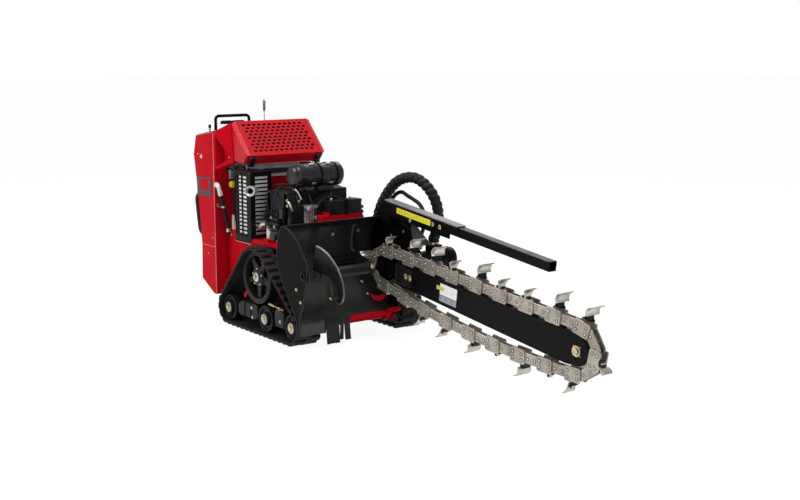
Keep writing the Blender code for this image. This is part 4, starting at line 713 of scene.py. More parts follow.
# the levers, key and knob
def makeControlTrim():
    slope = 0.033 / 0.214
    tops = lambda x: 1.083 + (x + 0.99) * slope + 0.0064
    boots = []
    for x, y, w, l in ((-1.1, -0.14, 0.03, 0.126), (-1.1, 0.08, 0.03, 0.106), (-1.1, 0.16, 0.026, 0.076),
            (-1.1, 0.235, 0.026, 0.076), (-1.1, -0.295, 0.026, 0.076)):
        outer = roundedOutline(l, w, 0.008, 4)
        inner = roundedOutline(l - 0.006, w - 0.008, 0.006, 4)
        heights = (0.0, 0.0032, 0.0032, 0.0)
        rings = [np.stack([x + r[:, 0], y + r[:, 1], tops(x + r[:, 0]) + h], -1)
                 for r, h in zip((outer, outer * 0.985, inner, inner), heights)]
        boots.append((np.concatenate(rings), gridFaces(4, len(outer), True, True)))
    piece("slot_rims", boots, "glossPlastic")
    screws = [dome((x, y, tops(x) - 0.0005), (-slope, 0, 1), 0.005) for x in (-1.186, -1.008)
              for y in (-0.31, -0.11, 0.11, 0.31)]
    piece("panel_screws", screws, "paleZinc")
    for name, y, low, high in (("boom_lever", 0.08, 1.19, 1.2565),
            ("trencher_drive_lever", 0.16, 1.099, 1.1175), ("parking_brake_lever", 0.235, 1.099, 1.1175),
            ("throttle_lever", -0.295, 1.099, 1.1175)):
        t = np.linspace(0, 1, 29)
        ripple, taper = 0.0006 * np.cos(t * np.pi * 2 * 7), 0.004 * np.clip(t - 0.92, 0, 1) / 0.08
        ribs = 0.0075 + 0.0012 * t + ripple - taper
        profile = np.vstack([[0.0042, 0.0], np.stack([ribs, t * (high - low)], -1)])
        piece(f"{name}_grip", lathe(profile, (-1.1, y, low), (0, 0, 1), 20), "hoseRubber", name)
        collar = lathe([(0.0045, -0.01), (0.0066, -0.008), (0.0066, -0.001), (0.0045, 0.0)],
            (-1.1, y, low), (0, 0, 1), 16)
        piece(f"{name}_collar", collar, "chrome" if name == "boom_lever" else "paleZinc", name)
    grips = []
    for low, high in ((-0.219, -0.15), (-0.13, -0.064)):
        t = np.linspace(0, 1, 41)
        near, far = 0.0025 * np.exp(-t / 0.03), 0.0025 * np.exp(-(1 - t) / 0.03)
        ribs = 0.0108 + 0.0006 * np.cos(t * np.pi * 2 * 11) - near - far
        grips.append(lathe(np.stack([ribs, t * (high - low)], -1), (-1.1, low, 1.128), (0, 1, 0), 24))
    piece("traction_grip", grips, "hoseRubber", "traction_lever")
    feet = [lathe([(0.02, 0.0), (0.02, 0.003), (0.012, 0.006), (0.0098, 0.012)],
        (-1.1, y, tops(-1.1) - 0.0012), (0, 0, 1), 24) for y in (-0.255, -0.028)]
    piece("reference_bar_feet", feet, "blackPaint")
    dial = lathe([(0.017, 0), (0.017, 0.0022), (0.015, 0.0032), (0.0125, 0.0032), (0.0125, 0.0014)],
        (-1.16, 0.3, tops(-1.16) - 0.0015), (-slope, 0, 1), 28)
    gauge = lathe([(0.024, 0), (0.024, 0.006), (0.0215, 0.008), (0.0195, 0.0065), (0.002, 0.0065)],
        (-1.16, 0.215, tops(-1.16) - 0.0015), (-slope, 0, 1), 32)
    piece("key_bezel", dial, "chrome")
    piece("hour_gauge", gauge, "glossPlastic")
    gaugeFace = lathe([(0.0185, 0), (0.0185, 0.0004), (0.001, 0.0005)],
        (-1.161, 0.215, tops(-1.16) + 0.0049), (-slope, 0, 1), 24)
    piece("hour_gauge_face", gaugeFace, "whitePlastic")


makeControlTrim()
print("console made")


# the hood and its latches
hood = {"half": 0.265, "top": (-0.887, 1.146), "lip": (-0.706, 0.957), "rear": (-0.968, 1.112), "rows": 9,
        "columns": 12}


# perforated sheet: each cell is a ring of quads from its border to a slanting hole
def perforated(corner, right, down, normal, width, height, rows, columns, thickness):
    pitchU, pitchV = width / (columns + 0.5), height / rows
    border = np.array([(-1, -1), (0, -1), (1, -1), (1, 0), (1, 1), (0, 1), (-1, 1), (-1, 0)]) * 0.5
    hole = np.array([(-0.34, -0.18), (-0.06, -0.34), (0.26, -0.3), (0.36, -0.06), (0.34, 0.18),
        (0.06, 0.34), (-0.26, 0.3), (-0.36, 0.06)])
    flat = np.concatenate([border, hole, hole, border]) * [pitchU, pitchV]
    depth = np.array([0.0] * 16 + [-thickness] * 16)
    k = np.arange(8)
    faces = []
    for low in (0, 8, 16):
        faces += np.stack([low + k, low + (k + 1) % 8, low + 8 + (k + 1) % 8, low + 8 + k], -1).tolist()
    r, c = (g.ravel() for g in np.meshgrid(np.arange(rows), np.arange(columns), indexing="ij"))
    centres = np.stack([(c + 0.5 + 0.5 * (r % 2)) * pitchU, (r + 0.5) * pitchV], -1)
    u = (flat[None, :, 0] + centres[:, None, 0])
    v = (flat[None, :, 1] + centres[:, None, 1])
    points = (np.asarray(corner) + u[..., None] * right + v[..., None] * down + depth[None, :, None]
              * normal)
    steps = (np.arange(len(centres)) * 32).tolist()
    shapes = [(points.reshape(-1, 3), [[i + s for i in f] for s in steps for f in faces])]
    # half cells left over at the row ends
    for row in range(rows):
        u0, u1 = (0.0, 0.5 * pitchU) if row % 2 else (columns * pitchU, (columns + 0.5) * pitchU)
        v0, v1 = row * pitchV, (row + 1) * pitchV
        q = np.array([(u0, v0), (u1, v0), (u1, v1), (u0, v1)])
        p = np.asarray(corner) + q[:, :1] * right + q[:, 1:] * down
        shapes.append(slab(p, -normal * thickness))
    return merge(shapes)


def makeHood():
    half, body = hood["half"], "hood"
    top, lip = (np.array([p[0], 0, p[1]]) for p in (hood["top"], hood["lip"]))
    down = unit(lip - top)
    normal = np.array([-down[2], 0, down[0]])
    normal = normal if normal[2] > 0 else -normal
    across = np.array([0.0, 1.0, 0.0])
    slope = np.linalg.norm(lip - top)
    wall, edge = 0.004, 0.022
    u0, v0, sheetHigh = 0.048, 0.02, slope - 0.042
    wide = 2 * half - 2 * u0
    sheet = perforated(top + across * (-half + u0) + down * v0, across, down, normal, wide, sheetHigh,
        hood["rows"], hood["columns"], wall)
    outline = [hood["rear"], (-0.96, 0.874), (-0.857, 0.91), (-0.76, 0.903), hood["lip"], hood["top"]]
    shapes = [sheet]
    # margins round the perforations, then a chamfer and a cheek on each side
    for a, b, c, d in ((edge, 0, wide + 2 * (u0 - edge), v0),
            (edge, v0 + sheetHigh, wide + 2 * (u0 - edge), slope - v0 - sheetHigh),
            (edge, v0, u0 - edge, sheetHigh), (u0 + wide, v0, u0 - edge, sheetHigh)):
        corner = top + across * (-half + a) + down * b
        q = np.array([corner, corner + across * c, corner + across * c + down * d, corner + down * d])
        shapes.append(slab(q, -normal * wall))
    o = np.array(outline)
    middle = np.array([-0.86, 1.0])
    # the cheek's outer face is smaller than its inner edge
    drawn = middle + (o - middle) * [0.93, 0.9]
    inside = middle + (o - middle) * 0.96
    for side in (-1, 1):
        rings = [np.stack([ring[:, 0], np.full(len(o), side * y), ring[:, 1]], -1) for ring, y in (
            (o, half - edge), (o, half - edge + 0.001),
            (middle + (o - middle) * 0.995, half - edge * 0.75),
            (drawn, half - 0.001), (middle + (drawn - middle) * 0.98, half),
            (inside, half - 0.006), (inside, half - edge))]
        shapes.append((np.concatenate(rings), gridFaces(5, 6, False, True)[6:] + [list(range(24, 30))]
            + [[i + 30 for i in f] for f in gridFaces(2, 6, False, True)] + [list(range(30, 36))]
            + [[i, (i + 1) % 6, 36 + (i + 1) % 6, 36 + i] for i in range(6)]
            + [[i, (i + 1) % 6, 6 + (i + 1) % 6, 6 + i] for i in range(6)]))
    # roof strip behind the top edge, and the lip rolled under to the front
    shapes.append(prism([hood["rear"], hood["top"], (-0.889, 1.141), (-0.967, 1.107)], -half + edge,
        half - edge, 0.0008))
    shapes.append(prism([hood["lip"], (-0.76, 0.903), (-0.764, 0.907), (-0.712, 0.961)], -half + edge,
        half - edge, 0.0008))
    shapes.append(prism([(-0.757, 0.9), (-0.757, 0.93), (-0.761, 0.93), (-0.764, 0.904), (-0.86, 0.913),
        (-0.86, 0.908), (-0.76, 0.899)], -half + edge, half - edge, 0.0006))
    # the hood wears the lit copy of the red paint: painted highlight
    piece("hood_shell", shapes, "hoodRed", body, ["hood"], angle=30)
    hinge = [rod([(-0.9865, y, 1.0885), (-0.9865, y + 0.078, 1.0885)], 0.006, 14, (0, 0, 1))
             for y in (-0.2, -0.119, -0.038, 0.043, 0.122)]
    leaf = prism([(-0.9905, 1.0925), (-0.97, 1.1135), (-0.962, 1.113), (-0.966, 1.1075),
        (-0.9825, 1.0865)], -0.2, 0.2, 0.0006)
    piece("hood_hinge", hinge + [leaf], "blackPaint", body)
    # the lip bead is a pink rod: painted highlight along the rolled lip
    bead = rod([(-0.7585, -half + edge, 0.9005), (-0.7585, half - edge, 0.9005)], 0.0032, 10, (0, 0, 1))
    piece("hood_lip_bead", bead, "seamLight", body)
    bolts = [dome(top + across * y + down * v, normal, 0.0055) for y in (-half + 0.034, half - 0.034)
             for v in (0.03, slope - 0.06)]
    piece("hood_bolts", bolts, "glossPlastic", body)
    # the baffle and the thin screen right behind the perforations are dark sheets of painted shade
    baffle = prism([(-0.955, 1.07), (-0.95, 1.07), (-0.86, 0.93), (-0.865, 0.93)], -0.24, 0.24, 0.0006)
    screen = prism([(-0.8945, 1.1275), (-0.7245, 0.95), (-0.725, 0.949), (-0.8955, 1.1268)], -0.255,
        0.255, 0.0003)
    piece("hood_baffle", [baffle, screen], "darkInside", body)


def makeLatches():
    down = unit(np.array([-0.758 + 0.706, 0.9 - 0.957]))
    out = np.array([-down[1], down[0]])
    hinge = np.array([-0.706, 0.957]) + down * 0.014 + out * 0.0073
    for sideName, side in (("right", -1), ("left", 1)):
        y, body = side * 0.225, f"hood_latch_{sideName}"
        at = lambda a, b: tuple(hinge + down * a + out * b)
        strap = [at(-0.004, -0.004), at(0.02, -0.0035), at(0.04, -0.004), at(0.056, -0.005),
                 at(0.06, 0.0), at(0.059, 0.012), at(0.052, 0.014), at(0.046, 0.01), at(0.036, 0.0085),
                 at(0.012, 0.0085), at(-0.004, 0.005)]
        shapes = [prism(strap, y - 0.015, y + 0.015, 0.0025)]
        shapes.append(lathe([(0.0066, -0.015), (0.0072, -0.0135), (0.0072, 0.0135), (0.0066, 0.015)],
            (hinge[0], y, hinge[1]), (0, 1, 0), 18))
        ribs = [prism([at(a, -0.0035), at(a + 0.003, -0.0035), at(a + 0.003, 0.01), at(a, 0.01)],
            y - 0.012, y + 0.012, 0.0008) for a in (0.016, 0.022, 0.028)]
        gripX, gripZ = at(0.0545, 0.004)
        handle = rod([(gripX, y - 0.021, gripZ), (gripX, y + 0.021, gripZ)], 0.0052, 10, (0, 0, 1))
        piece(f"latch_strap_{sideName}", shapes + ribs + [handle], "hoseRubber", body, [body])
        pin = rod([(hinge[0], y - 0.0185, hinge[1]), (hinge[0], y + 0.0185, hinge[1])], 0.0026, 10,
                  (0, 0, 1))
        piece(f"latch_pin_{sideName}", pin, "paleZinc", body)
        # catch on the guard rail below: a bent silver hook and its black anchor
        x, z = -0.792, 0.889
        hook = tubeAlong([(x + 0.01, y - 0.008, z - 0.02), (x + 0.016, y - 0.008, z - 0.004),
            (x + 0.012, y - 0.008, z + 0.006), (x + 0.012, y + 0.008, z + 0.006),
            (x + 0.016, y + 0.008, z - 0.004), (x + 0.01, y + 0.008, z - 0.02)], 0.0036, 5, 8, (0, 0, 1))
        piece(f"latch_catch_{sideName}", hook, "chrome")
        low, high = sorted((y + side * 0.02, y - side * 0.024))
        anchor = prism([(-0.905, 0.846), (-0.905, 0.878), (-0.88, 0.886), (-0.812, 0.884),
            (-0.786, 0.872), (-0.786, 0.862), (-0.83, 0.846)], low, high, 0.003)
        tip = block((-0.8, -0.776), (y - 0.013, y + 0.013), (0.86, 0.874), 0.003)
        piece(f"latch_anchor_{sideName}", [anchor, tip], "blackPlastic")


def makeUnderHood():
    # rails under the hood in matte black: painted shade
    rail = [block((-0.8, -0.772), (-0.262, 0.262), (0.842, 0.868), 0.003)]
    for y in (-0.262, 0.25):
        rail.append(prism([(-0.985, 0.861), (-0.985, 0.868), (-0.78, 0.868), (-0.78, 0.845),
            (-0.885, 0.847), (-0.9, 0.861)], y, y + 0.012, 0.001))
    piece("hood_rail", rail, "darkInside")
    fins = [block((-0.9735, -0.966), (-0.232, 0.232), (z, z + 0.0025), 0.0006)
            for z in np.linspace(0.812, 1.028, 25)]
    tanks = [block((-0.9888, -0.962), (y - 0.008, y + 0.008), (0.802, 1.038), 0.003)
             for y in (-0.236, 0.236)]
    piece("cooler_fins", fins + tanks, "castAluminium")


makeHood()
makeLatches()
makeUnderHood()
print("hood made")


# the engine bay
def makeMuffler():
    # the can is a rounded box that fills its guard, drawn in at both ends, with two rolled beads
    heights = [(0.51, 0.8), (0.514, 0.95), (0.524, 1.0), (0.6, 1.0), (0.604, 1.02), (0.61, 1.02),
        (0.614, 1.0), (0.756, 1.0), (0.76, 1.02), (0.766, 1.02), (0.77, 1.0), (0.846, 1.0), (0.856, 0.95),
        (0.86, 0.8)]
    outline = roundedOutline(0.16, 0.122, 0.034, 8)
    rings = [np.column_stack([-0.648 + outline[:, 0] * k, -0.269 + outline[:, 1] * k,
        np.full(len(outline), z)]) for z, k in heights]
    can = (np.concatenate(rings), tubeFaces(len(rings), len(outline)))
    # the can's near-white finish is pale steel plus painted light, brightening it inside the shaded guard
    piece("muffler_can", can, "brightSteel", "chassis", ["muffler"])
    way = unit([1, -1, 0])
    corner = np.array([-0.56, -0.335, 0.776])
    pipe = lathe([(0.0145, -0.03), (0.03, -0.055), (0.03, 0.006), (0.0315, 0.01), (0.0315, 0.018),
        (0.029, 0.0225), (0.023, 0.0225), (0.0165, 0.017), (0.0145, 0.01)], corner, way, 36, wrap=True)
    piece("exhaust_ring", pipe, "paleZinc")
    # the closed throat inside the exhaust pipe is a dark plug of painted shade
    inside = lathe([(0.0146, 0.006), (0.0146, -0.02), (0.002, -0.021)], corner, way, 24)
    piece("exhaust_throat", (inside[0], inside[1][:-2] + [inside[1][-1]]), "darkInside")
    frameRim = []
    for x in (-0.736, -0.56):
        frameRim.append(rod([(x, -0.335, 0.504), (x, -0.335, 0.879)], 0.0035, 8))
    frameRim.append(block((-0.734, -0.562), (-0.337, -0.334), (0.866, 0.88), 0.001))
    frameRim.append(block((-0.738, -0.558), (-0.34, -0.3368), (0.474, 0.514), 0.001))
    frameRim.append(block((-0.665, -0.659), (-0.3365, -0.334), (0.51, 0.872), 0.001))
    edge = rod([(-0.737, -0.3392, 0.4735), (-0.559, -0.3392, 0.4735)], 0.0018, 8)
    piece("guard_edge", edge, "paleZinc")
    piece("guard_rim", frameRim, "blackPaint")
    bolts = [bolt((x, -0.3368, z), (0, -1, 0), 0.005) for x in (-0.728, -0.568) for z in (0.507, 0.873)]
    piece("guard_bolts", bolts, "glossPlastic")


def makeAirCleaner():
    x, z = -0.32, 0.87
    profile = [(0.004, -0.222), (0.04, -0.222), (0.046, -0.22), (0.058, -0.208), (0.0655, -0.196),
        (0.066, -0.19), (0.066, -0.116), (0.0645, -0.113), (0.0645, -0.109), (0.0685, -0.107),
        (0.069, -0.104), (0.0685, -0.101), (0.066, -0.099), (0.066, -0.006), (0.0645, -0.003),
        (0.0645, 0.001), (0.0685, 0.003), (0.069, 0.006), (0.0685, 0.009), (0.066, 0.011), (0.066, 0.08),
        (0.063, 0.09), (0.056, 0.096), (0.004, 0.097)]
    shapes = [lathe(profile, (x, 0, z), (0, 1, 0), 56)]
    shapes.append(lathe([(0.02, 0.09), (0.02, 0.11), (0.016, 0.113), (0.003, 0.113)], (x, 0, z),
        (0, 1, 0), 24))
    shapes.append(block((x - 0.03, x + 0.022), (-0.052, 0.052), (0.786, 0.815), 0.004))
    shapes.append(lathe([(0.024, 0), (0.024, 0.055), (0.02, 0.06)], (x - 0.02, -0.15, 0.79), (0, 0, 1),
        24))
    piece("air_canister", shapes, "glossPlastic", "chassis", ["air_cleaner"])
    clips = []
    for y in (-0.104, 0.006):
        for a in (-35, 65):
            c, s = math.cos(math.radians(a)), math.sin(math.radians(a))
            spot = np.array([x + 0.0685 * c, y, z + 0.0685 * s])
            clips.append(prism([(-0.013, 0), (-0.011, 0.004), (0.004, 0.0055), (0.012, 0.003),
                (0.013, 0)], -0.006, 0.006, 0.0008, a=(0, 1, 0), b=(c, 0, s), c=(-s, 0, c), at=spot))
    piece("canister_clips", clips, "paleZinc")
    band = [lathe([(0.0662, -0.0065), (0.0675, -0.0065), (0.0675, 0.0065), (0.0662, 0.0065)], (x, y, z),
        (0, 1, 0), 48, wrap=True) for y in (-0.056, 0.05)]
    piece("canister_straps", band, "blackPaint")


def makeEngineDetail():
    # cooling fins on both cylinders, a shroud with ribs, and the fan screen
    fins = [prism(roundedOutline(0.12, 0.108, 0.018, 4, (-0.405, side * 0.235)), z, z + 0.0032, 0.0006,
        **level) for side in (-1, 1) for z in np.linspace(0.56, 0.668, 13)]
    piece("cylinder_fins", fins, "wornBlack")
    shroud = [prism([(-0.3, 0.52), (-0.268, 0.56), (-0.262, 0.7), (-0.28, 0.77), (-0.33, 0.788),
        (-0.33, 0.52)], -0.262, -0.186, 0.004)]
    for z in (0.575, 0.625, 0.675):
        shroud.append(block((-0.268, -0.259), (-0.256, -0.192), (z, z + 0.006), 0.0015))
    shroud.append(lathe([(0.118, 0), (0.121, 0.004), (0.121, 0.012), (0.112, 0.018), (0.1, 0.018)],
        (-0.264, 0, 0.64), (1, 0, 0), 44))
    piece("engine_shroud", shroud, "wornBlack")
    spokes = [prism([(0.03, -0.0025), (0.106, -0.0035), (0.106, 0.0035), (0.03, 0.0025)], 0, 0.0035,
        0.0008, a=(0, math.cos(a), math.sin(a)), b=(0, -math.sin(a), math.cos(a)), c=(1, 0, 0),
        at=(-0.247, 0, 0.64)) for a in np.radians(np.arange(0, 360, 15))]
    rings = [lathe([(r - 0.0022, 0), (r - 0.0022, 0.004), (r + 0.0022, 0.004), (r + 0.0022, 0)],
        (-0.247, 0, 0.64), (1, 0, 0), 44, wrap=True) for r in (0.032, 0.056, 0.08, 0.104)]
    piece("fan_screen", spokes + rings, "blackPaint")
    # carburettor side: a ribbed silver casting with webs and bosses
    cast = [block((-0.3, -0.256), (-0.172, -0.088), (0.612, 0.712), 0.004)]
    for y in (-0.16, -0.14, -0.12, -0.1):
        cast.append(block((-0.262, -0.249), (y - 0.003, y + 0.003), (0.618, 0.706), 0.0015))
    for z in (0.636, 0.668, 0.694):
        cast.append(block((-0.262, -0.251), (-0.168, -0.092), (z - 0.0025, z + 0.0025), 0.001))
    cast.append(lathe([(0.02, -0.01), (0.02, 0.016), (0.016, 0.019), (0.003, 0.019)],
        (-0.252, -0.152, 0.69), (1, 0, 0), 24))
    cast.append(lathe([(0.013, -0.01), (0.013, 0.018), (0.01, 0.02), (0.002, 0.02)],
        (-0.252, -0.108, 0.64), (1, 0, 0), 20))
    cast.append(tubeAlong([(-0.262, -0.18, 0.56), (-0.252, -0.172, 0.58), (-0.25, -0.16, 0.6),
        (-0.258, -0.15, 0.618)], 0.01, 6, 14))
    piece("engine_casting", cast, "castAluminium")
    pipes = [tubeAlong(r, t, 6, 10) for r, t in (
        ([(-0.3, -0.262, 0.742), (-0.268, -0.268, 0.735), (-0.255, -0.262, 0.715), (-0.262, -0.25, 0.69)],
         0.006),
        ([(-0.33, -0.2, 0.79), (-0.3, -0.205, 0.8), (-0.275, -0.2, 0.78), (-0.262, -0.19, 0.745)],
         0.0045),
        ([(-0.262, -0.19, 0.61), (-0.245, -0.182, 0.6), (-0.24, -0.165, 0.585), (-0.25, -0.15, 0.56),
          (-0.262, -0.14, 0.535)], 0.005),
        ([(-0.46, -0.296, 0.6), (-0.5, -0.3, 0.59), (-0.535, -0.292, 0.565), (-0.57, -0.28, 0.56)],
         0.014))]
    piece("engine_pipes", pipes, "paleZinc")
    wires = [tubeAlong(r, t, 6, 8) for r, t in (
        ([(-0.43, -0.2, 0.79), (-0.42, -0.235, 0.805), (-0.4, -0.262, 0.78), (-0.395, -0.29, 0.72),
          (-0.4, -0.3, 0.66)], 0.004),
        ([(-0.352, -0.16, 0.8), (-0.318, -0.19, 0.795), (-0.27, -0.215, 0.76), (-0.252, -0.215, 0.715),
          (-0.256, -0.2, 0.66)], 0.0035),
        ([(-0.35, -0.12, 0.795), (-0.29, -0.13, 0.775), (-0.246, -0.14, 0.745), (-0.238, -0.13, 0.715)],
         0.0045),
        ([(-0.28, 0.02, 0.785), (-0.236, -0.01, 0.77), (-0.212, -0.045, 0.748), (-0.226, -0.022, 0.744)],
         0.0035),
        ([(-0.56, -0.17, 0.72), (-0.565, -0.196, 0.76), (-0.52, -0.205, 0.8), (-0.44, -0.17, 0.812),
          (-0.38, -0.12, 0.8)], 0.0055))]
    piece("engine_wires", wires, "hoseRubber")
    brass = [bolt(p, n, s) for p, n, s in (
        ((-0.4705, -0.24, 0.7), (-1, 0, 0), 0.006), ((-0.292, -0.2625, 0.742), (0, -1, 0), 0.0065),
        ((-0.292, -0.2625, 0.712), (0, -1, 0), 0.0065),
        ((-0.42, -0.2905, 0.64), (0, -1, 0), 0.006), ((-0.385, -0.2905, 0.59), (0, -1, 0), 0.006),
        ((-0.2615, -0.205, 0.738), (1, 0, 0), 0.0055),
        ((-0.2615, -0.245, 0.56), (1, 0, 0), 0.0055), ((-0.246, -0.098, 0.702), (1, 0, 0), 0.005),
        ((-0.246, -0.164, 0.622), (1, 0, 0), 0.005))]
    piece("engine_brass", brass, "goldZinc")
    cover = lathe([(0.028, 0), (0.03, 0.004), (0.03, 0.06), (0.026, 0.068), (0.004, 0.069)],
        (-0.345, -0.262, 0.545), (0, -1, 0), 28)
    plug = lathe([(0.016, 0), (0.016, 0.03), (0.01, 0.034), (0.006, 0.05)], (-0.452, -0.29, 0.65),
        (0, -1, 0), 16)
    coil = [block((-0.335, -0.298), (-0.292, -0.262), (0.64, 0.7), 0.004), cover, plug,
            block((-0.548, -0.47), (-0.225, -0.188), (0.72, 0.778), 0.006),
            block((-0.565, -0.535), (-0.24, -0.19), (0.54, 0.69), 0.005)]
    piece("engine_boxes", coil, "blackPlastic")
    filterCan = lathe([(0.03, 0.0), (0.034, 0.006), (0.034, 0.07), (0.03, 0.078), (0.004, 0.08)],
        (-0.47, -0.252, 0.5023), (0, 0, 1), 28)
    piece("oil_filter", filterCan, "whitePlastic")
    rivets = [dome((-0.5475 + 0.02 * i, -0.2255, 0.765), (0, -1, 0), 0.003) for i in range(4)]
    piece("engine_box_screws", rivets, "paleZinc")


def makeBay():
    shell = [block((-0.246, -0.178), (-0.06, 0.155), (0.6553, 0.728), 0.003),
             block((-0.248, -0.176), (-0.062, 0.157), (0.722, 0.735), 0.003)]
    shell += [block((-0.226, -0.198), (y - 0.014, y + 0.014), (0.735, 0.738), 0.001)
              for y in (0.02, 0.05, 0.08)]
    piece("battery_case", shell, "blackPlastic", "chassis", ["battery"])
    posts = [lathe([(0.009, 0), (0.009, 0.008), (0.007, 0.0105), (0.002, 0.0108)], (-0.226, y, 0.7345),
        (0, 0, 1), 18) for y in (-0.02, 0.11)]
    piece("battery_posts", posts, "paleZinc")
    strap = [block((-0.251, -0.173), (0.04, 0.06), (0.736, 0.7385), 0.0008),
             block((-0.2505, -0.2475), (0.04, 0.06), (0.655, 0.7385), 0.0008),
             block((-0.1765, -0.1735), (0.04, 0.06), (0.655, 0.7385), 0.0008)]
    piece("battery_strap", strap, "blackPaint")
    tank = [prism(roundedOutline(0.26, 0.225, 0.03, 6, (-0.73, 0.2125)), 0.5025, 0.758, 0.01, **level),
            lathe([(0.03, 0.75), (0.03, 0.762), (0.034, 0.763), (0.036, 0.768), (0.036, 0.78),
                   (0.033, 0.785), (0.004, 0.786)], (-0.73, 0.21, 0), (0, 0, 1), 36)]
    piece("fuel_tank_shell", tank, "blackPlastic", "chassis", ["fuel_tank"])
    stem = lathe([(0.0045, 0.5025), (0.0045, 0.757)], (-0.953, -0.232, 0), (0, 0, 1), 12)
    sleeve = lathe([(0.01, 0.5025), (0.01, 0.56), (0.008, 0.585), (0.0046, 0.59)], (-0.953, -0.232, 0),
        (0, 0, 1), 18)
    piece("dipstick_stem", stem, "blackPlastic")
    piece("dipstick_sleeve", sleeve, "whitePlastic")
    stick = lathe([(0.004, -0.016), (0.017, -0.0155), (0.0195, -0.012), (0.02, 0.0), (0.0195, 0.012),
        (0.017, 0.0155), (0.004, 0.016)], (-0.953, -0.232, 0.772), (0, 1, 0), 28)
    piece("dipstick_cap", stick, "yellowPlastic", "chassis", ["dipstick"])
    fitting = lathe([(0.01, 0), (0.01, 0.05), (0.007, 0.056), (0.007, 0.085)], (-0.915, -0.23, 0.5025),
        (0, 0, 1), 18)
    piece("white_fitting", fitting, "whitePlastic")
    pipes = [tubeAlong(r, 0.009, 6, 12) for r in (
        [(-0.7, 0.02, 0.64), (-0.69, 0.035, 0.672), (-0.65, 0.05, 0.69), (-0.61, 0.04, 0.68),
         (-0.58, 0.02, 0.65)],
        [(-0.76, -0.02, 0.635), (-0.775, -0.04, 0.67), (-0.84, -0.06, 0.68), (-0.93, -0.06, 0.64),
         (-0.985, -0.06, 0.6)])]
    piece("pump_lines", pipes, "hoseRubber")
    bolts = [bolt((x, y, 0.5022), (0, 0, 1), 0.006)
             for x, y in ((-0.95, 0.0), (-0.95, 0.3), (-0.2, -0.3), (-0.2, 0.0), (-0.2, 0.3))]
    bolts += [bolt((-0.17, y, z), (1, 0, 0), 0.005) for y in (0.198, 0.302) for z in (0.515, 0.608)]
    piece("deck_bolts", bolts, "paleZinc")
    lips = [block((-0.25, -0.173), (y - 0.002, y + 0.002), (0.655, 0.672), 0.0006)
            for y in (-0.066, 0.161)]
    lips += [block((-0.745, -0.167), (-0.3365, -0.3325), (0.482, 0.502), 0.001),
             block((-0.986, -0.167), (0.3325, 0.3365), (0.482, 0.502), 0.001),
             block((-0.747, -0.743), (-0.3345, -0.246), (0.482, 0.502), 0.001)]
    piece("deck_lips", lips, "redPaint")


makeMuffler()
makeAirCleaner()
makeEngineDetail()
makeBay()
print("engine bay made")


# the digging head
# back shell: a smoothed section line carried across in Y and pressed back by a pocket with soft borders
def makeShell():
    line = [(0.076, 0.072), (0.076, 0.11), (0.074, 0.15), (0.03, 0.229), (-0.045, 0.329), (-0.09, 0.4),
            (-0.106, 0.46), (-0.106, 0.53), (-0.09, 0.59), (-0.06, 0.63), (-0.02, 0.65)]
    curve = curveThrough(line, 8)
    y = np.linspace(-0.4337, 0.1677, 121)
    way = unit(np.gradient(curve, axis=0))
    normal = np.stack([-way[:, 1], way[:, 0]], -1)       # towards the rear
    z = curve[:, 1]

    def soft(v, a, b):
        t = np.clip((v - a) / (b - a), 0, 1)
        return t ** 2 * (3 - 2 * t)

    across = soft(y, -0.262, -0.17) * (1 - soft(y, 0.04, 0.054))
    up = soft(z, 0.452, 0.466) * (1 - soft(z, 0.606, 0.628))
    pressed = 0.013 * up[:, None] * across[None]
    notch = (y[None] > -0.262) & (z[:, None] < 0.126)
    layers = []
    for back in (0.0, 0.0055):
        d = pressed + back
        layers.append(np.stack([curve[:, :1] + normal[:, :1] * d, np.broadcast_to(y, d.shape),
            curve[:, 1:] + normal[:, 1:] * d], -1))
    rows, columns = len(curve), len(y)
    solid = ~(notch[:-1, :-1] & notch[1:, 1:])
    quads = np.array(gridFaces(rows, columns))[solid.ravel()]
    total = rows * columns
    edges = np.concatenate([quads[:, [k, (k + 1) % 4]] for k in range(4)])
    key = np.sort(edges, 1)
    _, index, count = np.unique(key, axis=0, return_index=True, return_counts=True)
    rim = edges[index[count == 1]]
    walls = np.stack([rim[:, 0], rim[:, 1], rim[:, 1] + total, rim[:, 0] + total], -1)
    faces = quads.tolist() + (quads[:, ::-1] + total).tolist() + walls.tolist()
    points = np.concatenate([layer.reshape(-1, 3) for layer in layers])
    used = np.unique(np.array(faces))
    renumber = np.full(2 * total, -1)
    renumber[used] = np.arange(len(used))
    piece("spoil_shell", (points[used], renumber[np.array(faces)].tolist()), "shellPaint", "head",
          ["head_shell"], angle=40)
    # two ledges, the window's frame and the rolled top lip
    ledges = [prism(*row) for row in (
        ([(-0.11, 0.4385), (-0.055, 0.43), (-0.05, 0.432), (-0.05, 0.438), (-0.056, 0.4375),
          (-0.11, 0.4455)],
         -0.22, 0.052, 0.001),
        ([(-0.1, 0.395), (-0.07, 0.386), (-0.0655, 0.388), (-0.068, 0.393), (-0.1, 0.401)],
         -0.205, 0.06, 0.001),
        ([(-0.108, 0.47), (-0.09, 0.474), (-0.088, 0.6), (-0.078, 0.622), (-0.094, 0.6), (-0.112, 0.54)],
         0.048, 0.054, 0.0008),
    )]
    ledges.append(rod([(-0.018, -0.432, 0.6515), (-0.018, 0.166, 0.6515)], 0.0045, 10, (0, 0, 1)))
    piece("shell_ledges", ledges, "shieldPaint", "head")
    bolts = [bolt((x, yy, zz), n, 0.0065) for x, yy, zz, n in (
        (-0.096, -0.0925, 0.5674, (0.96, 0, -0.27)), (-0.095, 0.0756, 0.572, (0.96, 0, -0.27)),
        (0.0225, -0.1904, 0.2387, (0.8, 0, 0.6)),
        (-0.0225, 0.0483, 0.299, (0.8, 0, 0.6)), (0.024, 0.0533, 0.237, (0.8, 0, 0.6)))]
    piece("shell_bolts", bolts, "goldZinc", "head")


